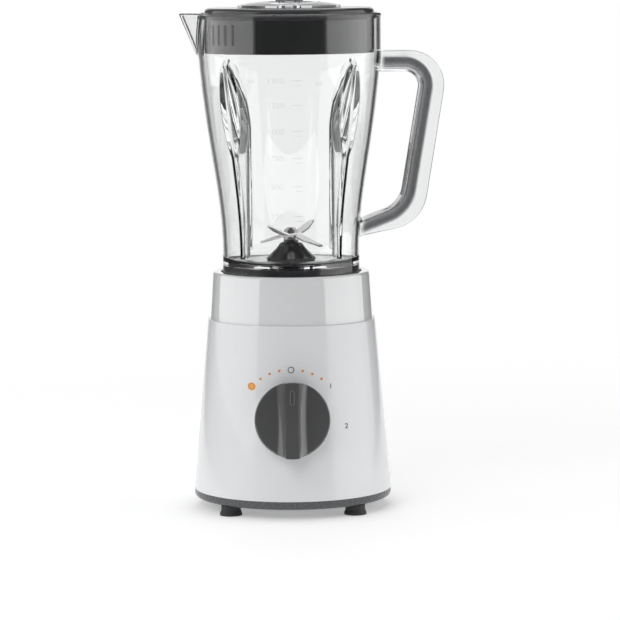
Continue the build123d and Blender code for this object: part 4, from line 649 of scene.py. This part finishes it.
def disc_shape(outer, inner=0.0, steps=40):
    """Flat disc or ring as points and faces."""
    turn = [2 * math.pi * k / steps for k in range(steps)]
    rim = [(outer * math.cos(t), outer * math.sin(t)) for t in turn]
    if inner <= 0:
        return np.array(rim), [list(range(steps))]
    hole = [(inner * math.cos(t), inner * math.sin(t)) for t in turn]
    faces = [[k, (k + 1) % steps, steps + (k + 1) % steps, steps + k] for k in range(steps)]
    return np.array(rim + hole), faces


def bar_shape(width, height, parts=6):
    """Flat bar as points and faces."""
    xs = np.linspace(-width / 2, width / 2, parts + 1)
    points = [(x, -height / 2) for x in xs] + [(x, height / 2) for x in xs]
    faces = [[k, k + 1, parts + 2 + k, parts + 1 + k] for k in range(parts)]
    return np.array(points), faces


def on_surface(shape, x, z, radius_at, lift):
    """Flat shape laid on a turned surface on the -Y side, true to shape seen from the front."""
    points, faces = shape
    placed = []
    for u, v in points:
        radius = radius_at(z + v) + lift
        turn = math.asin((x + u) / radius)
        placed.append((radius * math.sin(turn), -radius * math.cos(turn), z + v))
    return placed, faces


def widened(shape, factor):
    """The same flat shape, wider."""
    points, faces = shape
    return points * np.array((factor, 1.0)), faces


def printed(name, shapes, material, body):
    """One thin printed piece from several laid shapes."""
    points, faces = [], []
    for placed, shape_faces in shapes:
        start = len(points)
        points += placed
        faces += [[start + k for k in face] for face in shape_faces]
    return mesh_piece(name, points, faces, material, body, smooth=False)


HOUSING_R_LOW, HOUSING_R_HIGH, HOUSING_Z, HOUSING_H = 74.8, 63.3, 14.0, 129.9
Z_DIAL, RIDGE_OUT = 75.1, 21.16                     # dial's height, and its ridge along the dial's axis
PRINT_LIFT = 0.12


def housing_radius(z):
    """Outer radius of the tapered housing."""
    return HOUSING_R_LOW - (HOUSING_R_LOW - HOUSING_R_HIGH) * (z - HOUSING_Z) / HOUSING_H


def dial_print(shape, x, z):
    """Flat shape printed on the housing."""
    return on_surface(shape, x, z, housing_radius, PRINT_LIFT)


printed("dial_mark_off", [dial_print(disc_shape(2.4, 1.85), -0.8, 111.7)], MATERIALS["print_dark"], "base")
printed("dial_mark_one", [dial_print(text_shape("1", 3.6), 28.7, 98.9)], MATERIALS["print_dark"], "base")
printed("dial_mark_two", [dial_print(text_shape("2", 3.7), 40.3, 68.4)], MATERIALS["print_dark"], "base")
PULSE_AT = (-30.2, 98.95)
printed("dial_mark_pulse", [dial_print(disc_shape(2.8, 1.7), *PULSE_AT)], MATERIALS["print_orange"], "base")
printed("dial_mark_pulse_middle", [dial_print(disc_shape(1.68), *PULSE_AT)], MATERIALS["print_pale"], "base")
DOTS = ((-23.5, 104.8), (-16.7, 108.7), (-9.5, 111.0), (7.8, 110.9), (15.0, 108.4), (21.8, 104.6))
dots = [dial_print(disc_shape(0.95, steps=20), x, z) for x, z in DOTS]
printed("dial_dots", dots, MATERIALS["print_orange"], "base")


def knob_pointer():
    """Moulded edge round the pointer's recess on the knob's ridge."""
    half_w, half_l, line, up, steps = 1.25, 4.9, 0.32, 16.95, 12
    slope = math.atan2(HOUSING_R_LOW - HOUSING_R_HIGH, HOUSING_H)
    points = []
    for grow in (0.0, line):
        for k in range(2 * steps):
            turn = math.pi * (k + 0.5) / steps
            u = (half_w + grow) * math.cos(turn)
            v = up + (half_w + grow) * math.sin(turn) + math.copysign(half_l - half_w, math.sin(turn))
            points.append((
                u,
                -housing_radius(Z_DIAL) - RIDGE_OUT * math.cos(slope) + v * math.sin(slope),
                Z_DIAL + RIDGE_OUT * math.sin(slope) + v * math.cos(slope),
            ))
    count = 2 * steps
    faces = [[k, (k + 1) % count, count + (k + 1) % count, count + k] for k in range(count)]
    printed("knob_pointer", [(points, faces)], MATERIALS["pointer_edge"], "knob")


knob_pointer()
GRADUATIONS = ((1500, 325.5), (1250, 307.4), (1000, 288.0), (750, 268.0), (500, 246.8), (250, 224.5))


def goblet_print(shape, x, z):
    """Flat shape printed on the goblet."""
    return on_surface(shape, x, z, wall_radius, 0.10)


def graduations():
    """Numerals and bars at each level, and the two unit marks."""
    marks = [
        goblet_print(text_shape("ml", 3.0), -28.5, 325.3),
        goblet_print(text_shape("oz", 2.4), 21.5, 323.4),
    ]
    for amount, level in GRADUATIONS:
        marks.append(goblet_print(widened(text_shape(str(amount), 3.9), 1.15), -10.0, level))
        marks.append(goblet_print(bar_shape(7.4, 0.6), 5.2, level))
        marks.append(goblet_print(bar_shape(4.6, 0.45), 6.6, level - 3.4))
    printed("goblet_graduations", marks, GRADUATION, "goblet")


graduations()


# ------------------------------------------------------------------ studio
FLOOR_GLOW = 0.34           # the paper's own light near the blender
BACKDROP_GLOW = 1.0         # and on the curved part behind it
PAPER_HALF = 0.50
PAPER_FRONT, PAPER_BEND, PAPER_BEND_R, PAPER_TOP = -0.75, 1.1, 0.5, 1.9


def paper_material():
    """White paper whose far part is lit evenly, as a separately lit background is."""
    made, nodes, links, principled, vector = shader("paper")
    patch = noise(nodes, links, vector, 3.0, 3.0)
    principled.inputs["Roughness"].default_value = 0.9
    principled.inputs["Specular IOR Level"].default_value = 0.0
    principled.inputs["Emission Color"].default_value = (1, 1, 1, 1)
    split = nodes.new("ShaderNodeSeparateXYZ")
    links.new(vector, split.inputs[0])
    far = spread(nodes, links, split.outputs["Y"], 0, 1, 0.25, 0.9)
    glow = spread(nodes, links, far, FLOOR_GLOW, BACKDROP_GLOW, 0, 1)
    links.new(glow, principled.inputs["Emission Strength"])
    paper = blended(nodes, links, patch, (0.86, 0.86, 0.86), (0.88, 0.88, 0.88))
    links.new(blended(nodes, links, far, paper, (0.0, 0.0, 0.0)), principled.inputs["Base Color"])
    return made


def make_paper():
    """Floor that bends up into a backdrop."""
    line = [(PAPER_FRONT, 0.0), (-0.3, 0.0), (0.3, 0.0), (PAPER_BEND, 0.0)]
    for k in range(1, 17):
        turn = math.pi / 2 * k / 16
        line.append((PAPER_BEND + PAPER_BEND_R * math.sin(turn), PAPER_BEND_R * (1 - math.cos(turn))))
    line.append((PAPER_BEND + PAPER_BEND_R, PAPER_TOP))
    points = [(x, y, z - 0.0002) for y, z in line for x in (-PAPER_HALF, PAPER_HALF)]
    faces = [(2 * k, 2 * k + 1, 2 * k + 3, 2 * k + 2) for k in range(len(line) - 1)]
    mesh = bpy.data.meshes.new("studio_paper")
    mesh.from_pydata(points, [], faces)
    mesh.materials.append(paper_material())
    mesh.polygons.foreach_set("use_smooth", [True] * len(mesh.polygons))
    paper = bpy.data.objects.new("studio_paper", mesh)
    scene.collection.objects.link(paper)


make_paper()
MIDDLE = Vector((AXIS_X, AXIS_Y, 0.2))


def softbox(name, azimuth, elevation, distance, width, height, radiance):
    """Area light facing the middle of the blender. Azimuth 0 is the camera's side, + to the right."""
    turn, rise = math.radians(azimuth), math.radians(elevation)
    away = Vector((math.sin(turn) * math.cos(rise), -math.cos(turn) * math.cos(rise), math.sin(rise)))
    data = bpy.data.lights.new(name, "AREA")
    data.shape = "RECTANGLE"
    data.size, data.size_y = width, height
    data.energy = radiance * math.pi * width * height
    light = bpy.data.objects.new(name, data)
    light.location = MIDDLE + away * distance
    light.rotation_mode = "QUATERNION"
    light.rotation_quaternion = (-away).to_track_quat("-Z", "Y")
    scene.collection.objects.link(light)
    light.visible_camera = False
    return light


softbox("key_left", -86, 18, 1.5, 2.6, 1.3, 1.05)
softbox("fill_right", 86, 14, 1.5, 2.4, 1.3, 1.10)
softbox("top", 170, 72, 1.7, 1.3, 1.3, 1.2)
front = softbox("front_fill", -22, 32, 1.6, 1.2, 1.0, 2.3)
front.visible_glossy = False
front.visible_transmission = False

AZIMUTH_GREY = (            # azimuth in degrees, 0 on the camera's side, and the grey there
    (-180, 0.5), (-160, 0.22), (-145, 0.10), (-60, 0.12), (-46, 0.07), (-38, 0.065), (38, 0.065), (46, 0.06),
    (60, 0.14), (86, 0.34), (104, 0.34), (114, 0.03), (150, 0.04), (162, 0.2), (180, 0.5),
)
TOP_GREY = 0.35


def make_world():
    """Surroundings as greys round the horizon, and a lighter ceiling."""
    world = bpy.data.worlds.new("studio")
    scene.world = world
    world.use_nodes = True
    nodes, links = world.node_tree.nodes, world.node_tree.links
    nodes.clear()
    out = nodes.new("ShaderNodeOutputWorld")
    background = nodes.new("ShaderNodeBackground")
    links.new(background.outputs[0], out.inputs[0])
    split = nodes.new("ShaderNodeSeparateXYZ")
    links.new(nodes.new("ShaderNodeTexCoord").outputs["Generated"], split.inputs[0])
    flip = nodes.new("ShaderNodeMath")
    flip.operation = "MULTIPLY"
    flip.inputs[1].default_value = -1
    links.new(split.outputs["Y"], flip.inputs[0])
    turn = nodes.new("ShaderNodeMath")
    turn.operation = "ARCTAN2"
    links.new(split.outputs["X"], turn.inputs[0])
    links.new(flip.outputs[0], turn.inputs[1])
    ramp_node = nodes.new("ShaderNodeValToRGB")
    links.new(spread(nodes, links, turn.outputs[0], 0, 1, -math.pi, math.pi), ramp_node.inputs[0])
    ramp = ramp_node.color_ramp
    while len(ramp.elements) > 1:
        ramp.elements.remove(ramp.elements[0])
    ramp.elements[0].position = 0.0
    ramp.elements[0].color = (AZIMUTH_GREY[0][1],) * 3 + (1,)
    for degrees, grey in AZIMUTH_GREY[1:]:
        stop = ramp.elements.new((degrees + 180) / 360)
        stop.color = (grey, grey, grey, 1)
    height = spread(nodes, links, split.outputs["Z"], 0, 1, 0.6, 0.95)
    sky = blended(nodes, links, height, ramp_node.outputs[0], (TOP_GREY,) * 3)
    links.new(sky, background.inputs["Color"])


make_world()
scene.view_settings.view_transform = "Standard"
scene.view_settings.look = "None"
scene.cycles.max_bounces = 26
scene.cycles.transmission_bounces = 24
scene.cycles.transparent_max_bounces = 24
scene.cycles.glossy_bounces = 8

# ------------------------------------------------------------------ camera
camera_data = bpy.data.cameras.new("photo_camera")
camera_data.lens = 185.64
camera_data.sensor_width = 36.0
camera_data.clip_start = 0.05
camera_data.clip_end = 200.0
camera = bpy.data.objects.new("photo_camera", camera_data)
camera.matrix_world = (
    Matrix.Translation((AXIS_X, AXIS_Y - 2.4141, 0.42017))
    @ Matrix.Rotation(-0.0058, 4, "Z")
    @ Matrix.Rotation(math.pi / 2 - 0.1119, 4, "X")
    @ Matrix.Rotation(-0.0074, 4, "Z")
)
scene.collection.objects.link(camera)
scene.camera = camera
